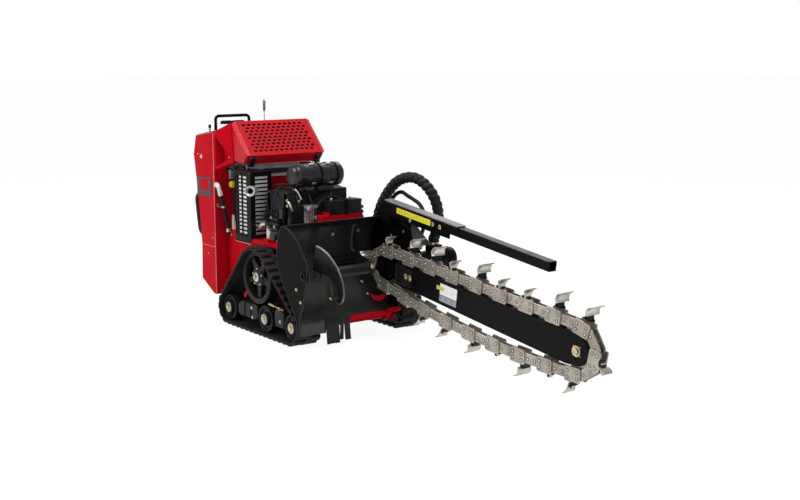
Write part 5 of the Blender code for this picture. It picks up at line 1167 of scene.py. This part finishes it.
def makeEndPlates():
    rimLine = [(0.076, 0.075), (0.072, 0.15), (0.026, 0.2285), (-0.05, 0.33), (-0.096, 0.402),
        (-0.1115, 0.46), (-0.1115, 0.53), (-0.095, 0.592), (-0.066, 0.639), (-0.022, 0.643),
        (0.043, 0.612), (0.096, 0.573), (0.141, 0.52), (0.179, 0.474), (0.183, 0.44), (0.15, 0.3),
        (0.105, 0.18), (0.089, 0.075)]
    c = curveThrough(rimLine, 5)
    path = np.stack([c[:, 0], np.full(len(c), -0.4365), c[:, 1]], -1)
    piece("right_plate_rim",
          sweep(path, [(-0.003, -0.0042), (0.003, -0.0042), (0.003, 0.0042), (-0.003, 0.0042)],
                top=(0, 1, 0)), "wornBlack", "head", angle=50)
    spots = [(0.0748, 0.3284), (0.114, 0.2664)]
    piece("right_plate_bolts", [bolt((x, -0.44, z), (0, -1, 0), 0.0062) for x, z in spots], "goldZinc",
          "head")
    boss = lathe([(0.0135, -0.001), (0.026, -0.001), (0.026, 0.003), (0.022, 0.005), (0.0135, 0.005)],
        (headAxis[0], -0.44, headAxis[1]), (0, -1, 0), 32, wrap=True)
    piece("right_bearing", boss, "blackPaint", "head")
    bracket = prism([(0.118, 0.376), (0.19, 0.376), (0.196, 0.382), (0.196, 0.424), (0.176, 0.436),
        (0.176, 0.464), (0.118, 0.464)], -0.4335, -0.407, 0.002)
    piece("end_bracket", bracket, "shieldPaint", "head")
    spots = [(0.0817, 0.5574), (0.1901, 0.5905), (0.0564, 0.6878), (0.03, 0.5), (0.24, 0.505)]
    piece("left_plate_bolts", [bolt((x, 0.168, z), (0, -1, 0), 0.0062) for x, z in spots], "goldZinc",
          "head")
    arcLine = arcPoints(headAxis, 0.232, 28, 112, 30)
    path = np.stack([arcLine[:, 0], np.full(len(arcLine), 0.1665), arcLine[:, 1]], -1)
    piece("left_plate_arc",
          sweep(path, [(-0.006, -0.002), (0.006, -0.002), (0.006, 0.002), (-0.006, 0.002)],
                top=(0, 1, 0)), "shieldPaint", "head", angle=50)
    face = prism([(0.262, 0.662), (0.292, 0.66), (0.424, 0.556), (0.424, 0.548), (0.311, 0.53),
        (0.285, 0.556)], 0.159, 0.1625, 0.0008)
    piece("left_flange_face", face, "flangeGrey", "head")
    cross = prism([(0.0765, 0.118), (0.0835, 0.118), (0.0835, 0.146), (0.0765, 0.146)], -0.108, 0.168,
        0.0012)
    piece("cross_edge", cross, "redPaint", "head")
    wedge = prism([(0.03, 0.253), (0.052, 0.236), (0.1, 0.232), (0.142, 0.24), (0.126, 0.214),
        (0.092, 0.198), (0.052, 0.214)], 0.072, 0.08, 0.001, a=(0, 1, 0), b=(0, 0, 1), c=(1, 0, 0))
    blade = prism([(0.085, 0.128), (0.19, 0.16), (0.215, 0.172), (0.205, 0.184), (0.15, 0.176),
        (0.085, 0.15)], 0.13, 0.138, 0.001)
    piece("red_guides", [wedge, blade], "redPaint", "head")


# helical flight: radius runs from the tube to the rim, angle grows with the distance along the shaft
def makeAuger():
    centre = np.array([headAxis[0], 0.0, headAxis[1]])
    right, pitch = -0.404, 0.337
    t = np.linspace(0, 1, 241)
    angle = np.radians(15 + 235 * t)
    y = right + 0.004 + pitch * angle / (2 * np.pi)
    ring = np.stack([np.sin(angle), np.zeros_like(t), np.cos(angle)], -1)

    def strip(section):
        s = np.asarray(section, float)
        points = centre + ring[:, None] * s[None, :, :1] + np.array([0, 1.0, 0]) * (y[:, None, None]
            + s[None, :, 1:])
        return points.reshape(-1, 3), tubeFaces(len(t), len(s))

    piece("auger_flight",
          strip([(0.024, -0.003), (0.163, -0.003), (0.163, 0.003), (0.1, 0.0032), (0.024, 0.003)]),
          "shieldPaint", "head_shaft", ["auger"], angle=50)
    piece("auger_edge",
          strip([(0.1625, -0.0034), (0.169, -0.0034), (0.17, -0.002), (0.17, 0.002), (0.169, 0.0034),
                 (0.1625, 0.0034)]), "wornEdge", "head_shaft", angle=50)
    core = lathe([(0.004, -0.398), (0.0285, -0.398), (0.03, -0.396), (0.03, 0.0), (0.028, 0.0)],
        centre + np.array([0, -0.006, 0]), (0, 1, 0), 40)
    shapes = [core, lathe([(0.012, -0.437), (0.012, -0.4)], centre, (0, 1, 0), 20)]
    for at, size in ((-0.402, 0.036), (-0.365, 0.033), (-0.03, 0.036)):
        shapes.append(lathe([(0.029, 0), (size - 0.001, 0), (size, 0.002), (size, 0.014),
            (size - 0.001, 0.016), (0.029, 0.016)], centre + np.array([0, at, 0]), (0, 1, 0), 36,
            wrap=True))
    piece("auger_tube", shapes, "shieldPaint", "head_shaft")
    piece("auger_bolt", bolt(centre + np.array([0.03, -0.022, 0.012]), (0.93, 0, 0.37), 0.01), "goldZinc",
          "head_shaft")


def makeFlaps():
    u, v = np.meshgrid(np.linspace(0, 1, 13), np.linspace(0, 1, 17), indexing="ij")
    shapes = []
    for low, high, bottom, lean in ((-0.262, -0.18, 0.012, 0.01), (-0.172, -0.151, 0.024, 0.0),
            (-0.147, -0.112, 0.022, 0.014)):
        y = low + (high - low) * u + 0.003 * np.sin(v * 3) * (1 - v)
        z = 0.146 - (0.146 - bottom) * v
        x = 0.0802 + lean * v ** 2 + 0.0025 * np.sin(u * 7 + low * 40) * v ** 1.5
        front, back = (np.stack([x + d, y, z], -1).reshape(-1, 3) for d in (0.0022, -0.0022))
        n = u.size
        faces = gridFaces(13, 17)
        shape = np.concatenate([front, back])
        border = [i * 17 for i in range(13)] + [12 * 17 + j for j in range(1, 17)]
        border += [i * 17 + 16 for i in range(11, -1, -1)] + list(range(15, 0, -1))
        walls = [[a, b, b + n, a + n] for a, b in zip(border, border[1:] + border[:1])]
        shapes.append((shape, faces + [[i + n for i in f[::-1]] for f in faces] + walls))
    shapes.append(block((0.0765, 0.082), (-0.262, -0.112), (0.112, 0.146), 0.001))
    piece("hanging_flaps", shapes, "flapRubber", "head", ["rubber_flap"])
    clamp = block((0.0822, 0.0865), (-0.262, -0.112), (0.118, 0.148), 0.001)
    piece("flap_clamp", clamp, "wornBlack", "head")
    piece("flap_bolts", [bolt((0.0865, y, 0.133), (1, 0, 0), 0.005) for y in (-0.245, -0.187, -0.129)],
          "wornBlack", "head")


makeShell()
makeEndPlates()
makeAuger()
makeFlaps()
print("head made")


# the boom, bar, chain and hoses
boom = {"length": 1.4745, "headRadius": 0.093, "noseRadius": 0.1143, "links": 40, "sag": 0.046,
        "big": 0.035, "small": 0.024, "inner": 0.012, "plate": 0.0075}


# chain line: two arcs, a straight upper run and a lower run that sags as a parabola, at even steps
def chainPins():
    length, rh, rn = boom["length"], boom["headRadius"], boom["noseRadius"]
    slope = math.asin((rn - rh) / length)
    top = math.degrees(math.pi / 2 + slope)
    start = np.array([-rh * math.sin(slope), rh * math.cos(slope)])
    nose = arcPoints((length, 0), rn, top, -top, 90)
    t = (np.arange(1, 60) / 60)[:, None]
    low = nose[-1] + (start * [1, -1] - nose[-1]) * t - np.array([0, 4 * boom["sag"]]) * t * (1 - t)
    head = arcPoints((0, 0), rh, -top, top - 360, 80)
    line = np.vstack([start[None], nose, low, head])
    return resampled(line, boom["links"], closed=True)[0]


def makeChain():
    pins = chainPins()
    nextPins = np.roll(pins, -1, 0)
    way, middle = unit(nextPins - pins), (pins + nextPins) / 2
    zero, one = np.zeros(len(pins)), np.ones(len(pins))
    frames = np.stack([np.stack([way[:, 0], zero, way[:, 1]], -1), np.stack([zero, one, zero], -1),
        np.stack([-way[:, 1], zero, way[:, 0]], -1)], -1)
    places = np.stack([middle[:, 0], zero, middle[:, 1]], -1)
    half = np.linalg.norm(nextPins - pins, axis=1).mean() / 2
    bigAt, smallAt = slice(0, None, 2), slice(1, None, 2)
    shapes, rivets, sockets = [], [], []
    thick = boom["plate"]
    plates = ((bigAt, boom["big"], half + 0.003, boom["inner"] + thick - 0.0006),
              (smallAt, boom["small"], half + 0.0125, boom["inner"]))
    for which, height, reach, inner in plates:
        cut = 0.006 if which is bigAt else 0.01
        outline = [(-reach + cut, -height), (reach - cut, -height), (reach, -height + cut),
            (reach, height - cut), (reach - cut, height), (-reach + cut, height), (-reach, height - cut),
            (-reach, -height + cut)]
        both = [prism(outline, low, high, 0.001)
                for low, high in ((-inner - thick, -inner), (inner, inner + thick))]
        shapes.append(copies(both, places[which], frames[which]))
        face = inner + thick
        spots = [(-0.42, 0), (0.42, 0.0)]
        if which is bigAt:
            spots = [(-0.62, 0.42), (0.62, 0.42), (0.62, -0.42), (-0.62, -0.42)]
        heads = [dome((u * reach, s * face, v * height), (0, s, 0), 0.0056) for s in (-1, 1)
                 for u, v in spots]
        rivets.append(copies(heads, places[which], frames[which]))
        section = [(0.0072, -0.0002), (0.008, 0.0006), (0.0092, 0.0006), (0.0096, -0.0002)]
        holes = [lathe(section, (u * reach, s * face, v * height), (0, s, 0), 14, wrap=True)
                 for s in (-1, 1) for u, v in spots]
        sockets.append(copies(holes, places[which], frames[which]))
    inner = boom["inner"]
    roller = lathe([(0.008, -inner - 0.002), (0.011, -inner + 0.001), (0.011, inner - 0.001),
        (0.008, inner + 0.002)], (-half, 0, 0), (0, 1, 0), 12)
    piece("chain_plates", onBoom(shapes), "linkSteel", "head", ["digging_chain"], angle=30)
    piece("chain_rivets", onBoom(rivets), "cupSteel", "head", angle=50)
    piece("chain_sockets", onBoom(sockets), "wornBlack", "head", angle=50)
    piece("chain_rollers", onBoom(copies(roller, places, frames)), "wornBlack", "head")
    # cups: a scoop whose section curls forward at the tip, full or tapered, on either side
    def scoop(corners):
        section = curveThrough(corners, 4)
        way = unit(np.gradient(section, axis=0))
        side = np.stack([-way[:, 1], way[:, 0]], -1) * 0.0028
        return np.vstack([section + side, (section - side)[::-1]])

    tall = scoop([(0.004, 0.06), (0.0, 0.07), (-0.001, 0.082), (0.003, 0.094), (0.012, 0.104),
        (0.026, 0.11)])
    short = scoop([(0.006, 0.034), (0.008, 0.046), (0.008, 0.058), (0.01, 0.069), (0.017, 0.079),
        (0.027, 0.086)])
    bigPlaces, bigFrames = places[bigAt], frames[bigAt]
    # tall, short or bare bracket, from the head's top
    kinds = np.array([1, 0, 0, 1, 0, 1, 1, 0, 0, 1, 1, 2, 0, 2, 0, 1, 1, 2, 2, 1])
    flips = np.where(kinds == 1, -1.0, 1.0)
    mirrored = bigFrames.copy()
    mirrored[:, :, 1] *= flips[:, None]
    cups = []
    scoops = ((tall, -0.016, 0.07, 0.0), (short, -0.012, 0.056, 0.5))
    for kind, (outline, low, high, narrow) in enumerate(scoops):
        points, faces = prism(outline, low, high, 0.001)
        centre = (low + high) / 2
        taper = narrow * np.clip((0.078 - points[:, 2]) / 0.036, 0, 1)
        points[:, 1] = centre + (points[:, 1] - centre) * (1 - taper)
        pick = kinds == kind
        cups.append(copies((points, faces), bigPlaces[pick], mirrored[pick]))
    arm = prism([(-0.02, 0.0356), (0.012, 0.0356), (0.012, 0.044), (0.006, 0.06), (-0.004, 0.062),
        (-0.01, 0.05), (-0.02, 0.046)], 0.004, 0.034, 0.0015)
    lug = prism([(-0.022, 0.01), (0.022, 0.01), (0.022, 0.04), (0.01, 0.052), (-0.012, 0.052),
        (-0.022, 0.04)], 0.0268, 0.033, 0.0015)
    post = prism([(-0.022, 0.04), (-0.003, 0.04), (-0.004, 0.066), (-0.01, 0.07), (-0.016, 0.066)], 0.004,
        0.05, 0.0015)
    # the plate's outer lug is on the side away from the right-hand track
    far = flips > 0
    brackets = [copies(arm, bigPlaces, mirrored),
        copies(post, bigPlaces[kinds == 0], mirrored[kinds == 0]),
        copies(lug, bigPlaces[far], mirrored[far])]
    pair = [bolt((u, 0.033, 0.028), (0, 1, 0), 0.0062) for u in (-0.012, 0.012)]
    row = [bolt((-0.008, y, 0.052), (-1, 0, 0.2), 0.0052) for y in (0.012, 0.026)]
    bolts = [copies(pair, bigPlaces[far], mirrored[far]), copies(row, bigPlaces, mirrored)]
    piece("chain_cups", onBoom(cups), "cupSteel", "head", angle=50)
    piece("cup_brackets", onBoom(brackets), "wornBlack", "head", angle=30)
    piece("cup_bolts", onBoom(bolts), "paleZinc", "head")


def makeBoomDetail():
    right = -0.0253                                  # near face of the boom, in the boom's own frame
    mount = [prism([(0.128, 0.046), (0.268, 0.046), (0.275, 0.04), (0.275, -0.04), (0.268, -0.046),
        (0.128, -0.046)], right - 0.006, right, 0.001)]
    edging = [prism(line, right - 0.012, right - 0.005, 0.001) for line in (
        [(0.15, -0.05), (0.16, -0.05), (0.16, 0.05), (0.15, 0.05)],
        [(0.158, 0.042), (0.23, 0.042), (0.23, 0.05), (0.158, 0.05)],
        [(0.158, -0.05), (0.23, -0.05), (0.23, -0.042), (0.158, -0.042)],
    )]
    piece("boom_root_plate", onBoom(mount + edging), "wornBlack", "head")
    piece("boom_root_bolts",
          onBoom([bolt((x, right - 0.006, 0.004), (0, -1, 0), 0.0105) for x in (0.222, 0.258)]),
          "goldZinc", "head")
    lip = []
    for s in (-1, 1):
        edgeRoot, edgeNose = 0.0572, 0.0772
        lip.append(prism([(0.28, s * (edgeRoot + 0.0015)), (1.38, s * (edgeNose - 0.0035)),
            (1.38, s * (edgeNose - 0.0065)), (0.28, s * (edgeRoot - 0.002))], right - 0.0016, 0.0268,
            0.0006))
    notches = [prism([(x, 0.054 + x * 0.0143 - 0.003), (x + 0.048, 0.054 + (x + 0.048) * 0.0143 - 0.003),
        (x + 0.044, 0.054 + x * 0.0143 + 0.001), (x + 0.004, 0.054 + x * 0.0143 + 0.001)], right - 0.0022,
        right + 0.001, 0.0005) for x in (0.52, 0.78, 1.02, 1.22)]
    piece("boom_edges", onBoom(lip), "blackPaint", "head")
    piece("boom_notches", onBoom(notches), "shieldPaint", "head")
    nose = boom["length"]
    ring = [lathe([(0.018, 0.0), (0.0255, 0.0), (0.026, 0.002), (0.0255, 0.0045), (0.018, 0.005)],
        (nose, right, 0), (0, -1, 0), 40, wrap=True)]
    head = [lathe([(0.017, 0.004), (0.0175, 0.005), (0.0175, 0.0115), (0.0155, 0.0135), (0.01, 0.0138),
        (0.008, 0.0128), (0.001, 0.0128)], (nose, right, 0), (0, -1, 0), 6)]
    piece("nose_ring", onBoom(ring + head), "goldZinc", "head", ["nose_bolt"])
    far = lathe([(0.026, 0), (0.026, 0.004), (0.0175, 0.0045), (0.0175, 0.014), (0.002, 0.0142)],
        (nose, 0.0253, 0), (0, 1, 0), 6)
    shaft = lathe([(0.014, -0.025), (0.014, 0.025)], (nose, 0, 0), (0, 1, 0), 24)
    piece("nose_nut", onBoom([far, shaft]), "goldZinc", "head")
    small = [dome(p, (0, -1, 0), 0.0028) for p in onCircle(nose, right, 0, 0.03, [50, 140, 230, 320])]
    piece("nose_screws", onBoom(small), "paleZinc", "head")
    sticker("boom_label", (0.506, right - 0.0007, -0.012), (0.132, 0, 0), (0, 0, 0.058), "whiteLabel",
            "head", mapper=onBoom)
    sticker("boom_label_foot", (0.506, right - 0.0007, -0.046), (0.132, 0, 0), (0, 0, 0.03), "greyLabel",
            "head", mapper=onBoom)
    sticker("boom_label_mark", (0.478, right - 0.0013, 0.01), (0.06, 0, 0), (0, 0, 0.02), "yellowLabel",
            "head", mapper=onBoom)


def makeBarDetail():
    near = 0.1172                                    # the face towards the right, in the bar's own frame
    sticker("bar_label", (0.167, near - 0.006, -0.042), (0.29, 0, 0), (0, 0, 0.03), "hazardLabel", "head",
            12, mapper=onBar)
    piece("bar_bolts",
          onBar([bolt((x, near - 0.0052, z), (0, -1, 0), 0.0085)
                 for x, z in ((0.474, -0.03), (0.532, -0.032), (0.285, -0.056))]), "goldZinc", "head")
    end = 1.327
    middle = np.array([0.1425, -0.025])
    o, i = roundedOutline(0.05, 0.05, 0.006, 5, middle), roundedOutline(0.0395, 0.0395, 0.003, 5, middle)
    rings = [(o, 0.06), (o, end - 0.0008), (o + (middle - o) * 0.02, end), (i, end), (i, end - 0.06)]
    points = np.concatenate([np.stack([np.full(len(r), x), r[:, 0], r[:, 1]], -1) for r, x in rings])
    piece("bar_tube", onBar((points, tubeFaces(5, len(o)))), "blackPaint", "head", ["safety_bar"],
          angle=30)
    piece("bar_end_hole",
          onBar(lathe([(0.0075, 0), (0.0075, 0.0008), (0.001, 0.0009)], (end - 0.059, 0.1425, -0.022),
              (1, 0, 0), 20)), "whitePlastic", "head")
    # the grey cap face and the grey bead along the top are painted highlight on the black bar's top
    cap = prism([(0.053, 0.0006), (0.668, 0.0006), (0.672, 0.0052), (0.668, 0.007), (0.053, 0.007)],
        near - 0.0062, 0.169, 0.0008)
    piece("bar_cap_face", onBar(cap), "barTop", "head")
    bead = rod([(0.68, near + 0.002, -0.001), (1.322, near + 0.002, -0.001)], 0.0016, 8)
    piece("bar_weld", onBar(bead), "barTop", "head")


def makeMotor():
    x, z = headAxis
    body = [lathe([(0.0345, 0.1785), (0.078, 0.1785), (0.08, 0.181), (0.08, 0.196), (0.078, 0.199),
        (0.0565, 0.2)], (x, 0, z), (0, 1, 0), 40)]
    profile = [(0.03, 0.188), (0.054, 0.189), (0.054, 0.3), (0.056, 0.302), (0.056, 0.312),
        (0.054, 0.314), (0.054, 0.38), (0.056, 0.382), (0.056, 0.392), (0.054, 0.394), (0.054, 0.484),
        (0.059, 0.486), (0.06, 0.489), (0.06, 0.531), (0.058, 0.536), (0.05, 0.543), (0.044, 0.545),
        (0.004, 0.545)]
    body.append(lathe(profile, (x, 0, z), (0, 1, 0), 52))
    body.append(block((x - 0.035, x + 0.035), (0.38, 0.45), (z + 0.042, z + 0.085), 0.004))
    quarters = [45, 135, 225, 315]
    body += [lathe([(0.006, 0.0), (0.006, 0.3)], p, (0, 1, 0), 10)
             for p in onCircle(x, 0.196, z, 0.05, quarters)]
    piece("motor_case", body, "blackPaint", "head", ["drive_motor"])
    bolts = [bolt(p, (0, 1, 0), 0.0075) for p in onCircle(x, 0.199, z, 0.068, range(0, 360, 60))]
    bolts += [bolt(p, (0, 1, 0), 0.0055, washer=False) for p in onCircle(x, 0.494, z, 0.05, quarters)]
    piece("motor_bolts", bolts, "paleZinc", "head")
    fitting = [lathe([(0.017, 0), (0.017, 0.01), (0.013, 0.012), (0.013, 0.02)], (x, y, z + 0.085),
        (0, 0, 1), 6) for y in (0.4, 0.432)]
    fitting.append(lathe([(0.012, 0), (0.012, 0.012), (0.01, 0.014), (0.01, 0.024)],
        (x, 0.296, z + 0.053), (0, 0, 1), 6))
    piece("motor_fittings", fitting, "paleZinc", "head")


# guard sleeve: a wrapped spiral, its radius rippling with the length along it plus the angle round it
def makeHoses():
    route = [(-0.1397, 0.235, 0.5603), (-0.1397, 0.237, 0.615), (-0.126, 0.242, 0.668),
             (-0.1, 0.25, 0.725), (-0.062, 0.262, 0.783), (-0.012, 0.276, 0.834), (0.05, 0.294, 0.862),
             (0.11, 0.314, 0.863), (0.165, 0.334, 0.834), (0.204, 0.355, 0.783), (0.22, 0.375, 0.722),
             (0.214, 0.391, 0.655), (0.193, 0.403, 0.592), (0.16, 0.413, 0.548), (0.145, 0.415, 0.525),
             (0.145, 0.415, 0.505)]
    line = curveThrough(route, 24)
    count, sides = 620, 20
    path, at = resampled(line, count)
    a = np.arange(sides) * 2 * np.pi / sides
    ripple = np.abs(np.sin(at[:, None] / 0.034 * np.pi + a[None] * 0.5))
    radius = 0.0248 + 0.0062 * ripple ** 0.6
    way = unit(np.gradient(path, axis=0))
    top = unit(np.array([0, 1.0, 0]) - way[:, 1:2] * way)
    side = np.cross(top, way)
    points = path[:, None] + radius[..., None] * (np.cos(a)[None, :, None] * side[:, None]
        + np.sin(a)[None, :, None] * top[:, None])
    faces = tubeFaces(count, sides)
    sleeve = piece("hose_sleeve", (points.reshape(-1, 3), faces), "hoseRubber", None, ["hose_guard"],
        angle=70)
    drain = [(-0.1697, 0.29, 0.6), (-0.152, 0.29, 0.601), (-0.13, 0.29, 0.632), (-0.103, 0.296, 0.704),
             (-0.062, 0.306, 0.757), (-0.008, 0.308, 0.776), (0.052, 0.306, 0.76), (0.112, 0.302, 0.745),
             (0.168, 0.299, 0.724), (0.205, 0.297, 0.68), (0.21, 0.296, 0.622), (0.187, 0.296, 0.566),
             (0.158, 0.296, 0.524), (0.145, 0.296, 0.49), (0.145, 0.296, 0.468)]
    thin = piece("thin_hose", tubeAlong(drain, 0.011, 10, 14), "hoseRubber", None, ["drain_hose"],
        angle=70)
    for hose in (sleeve, thin):
        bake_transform(hose)
    nuts = lathe([(0.0165, 0), (0.0165, 0.012), (0.012, 0.015)], (-0.17, 0.29, 0.6), (1, 0, 0), 6)
    piece("bulkhead_nuts", nuts, "paleZinc")


def makeLift():
    start, end = np.array([-0.45, 0, 0.14]), np.array([-0.022, 0, 0.255])
    way = unit(end - start)
    gland = lathe([(0.0145, 0.285), (0.031, 0.285), (0.033, 0.288), (0.033, 0.3), (0.031, 0.304),
        (0.0145, 0.304)], start, way, 32, wrap=True)
    piece("lift_gland", gland, "paleZinc", "lift_barrel")
    port = [lathe([(0.01, 0), (0.01, 0.018), (0.008, 0.02)], start + way * s + np.array([0, 0, 0.027]),
        (-0.26, 0, 0.966), 12) for s in (0.06, 0.27)]
    piece("lift_ports", port, "blackPaint", "lift_barrel")


makeChain()
makeBoomDetail()
makeBarDetail()
makeMotor()
makeHoses()
makeLift()
print("boom, bar and hoses made")


# the floor, lights and world
def makeStage():
    mesh = bpy.data.meshes.new("floor")
    mesh.from_pydata([(-60, -60, 0), (60, -60, 0), (60, 60, 0), (-60, 60, 0)], [], [(0, 1, 2, 3)])
    floor = bpy.data.objects.new("floor", mesh)
    bpy.context.scene.collection.objects.link(floor)
    paint = bpy.data.materials.new("floorWhite")
    paint.use_nodes = True
    tree = paint.node_tree
    tree.nodes.clear()
    matte = addNode(tree, "BsdfDiffuse", {"Color": (0.86, 0.86, 0.86, 1)})
    glow = addNode(tree, "Emission", {"Color": (1, 1, 1, 1), "Strength": 1.12})
    rays = addNode(tree, "LightPath")
    seen = reckoned(tree, "MAXIMUM", rays.outputs["Is Camera Ray"], rays.outputs["Is Glossy Ray"])
    seen = reckoned(tree, "MAXIMUM", seen, rays.outputs["Is Transmission Ray"])
    share = reckoned(tree, "MULTIPLY", seen, 0.82)
    blend = addNode(tree, "MixShader", {0: share, 1: matte.outputs[0], 2: glow.outputs[0]})
    addNode(tree, "OutputMaterial", {"Surface": blend.outputs[0]})
    mesh.materials.append(paint)
    world = bpy.data.worlds.new("studio")
    bpy.context.scene.world = world
    world.use_nodes = True
    tree = world.node_tree
    tree.nodes.clear()
    rays = addNode(tree, "LightPath")
    seen = reckoned(tree, "MAXIMUM", rays.outputs["Is Camera Ray"], rays.outputs["Is Transmission Ray"])
    soft = addNode(tree, "Background", {"Color": (0.95, 0.97, 1.0, 1), "Strength": 0.42})
    white = addNode(tree, "Background", {"Color": (1, 1, 1, 1), "Strength": 1.0})
    blend = addNode(tree, "MixShader", {0: seen, 1: soft.outputs[0], 2: white.outputs[0]})
    addNode(tree, "OutputWorld", {"Surface": blend.outputs[0]})
    middle = Vector((0, 0, 0.6))
    for name, place, size, power, colour in (
        ("key", (-1.8, -4.6, 4.6), 2.6, 190, (1.0, 0.98, 0.95)),
        ("top", (0.8, -0.2, 5.6), 2.8, 170, (1, 1, 1)),
        ("front", (5.6, -0.8, 2.6), 2.4, 36, (0.96, 0.98, 1.0)),
        ("back", (-2.6, 4.2, 3.4), 2.6, 60, (1, 1, 1)),
    ):
        lamp = bpy.data.lights.new(name, "AREA")
        lamp.size, lamp.energy, lamp.color = size, power, colour
        obj = bpy.data.objects.new(name, lamp)
        obj.location = place
        obj.rotation_euler = (middle - Vector(place)).to_track_quat("-Z", "Y").to_euler()
        bpy.context.scene.collection.objects.link(obj)
    bpy.context.scene.view_settings.view_transform = "Standard"


makeStage()
print("stage made")

bpy.context.view_layer.update()
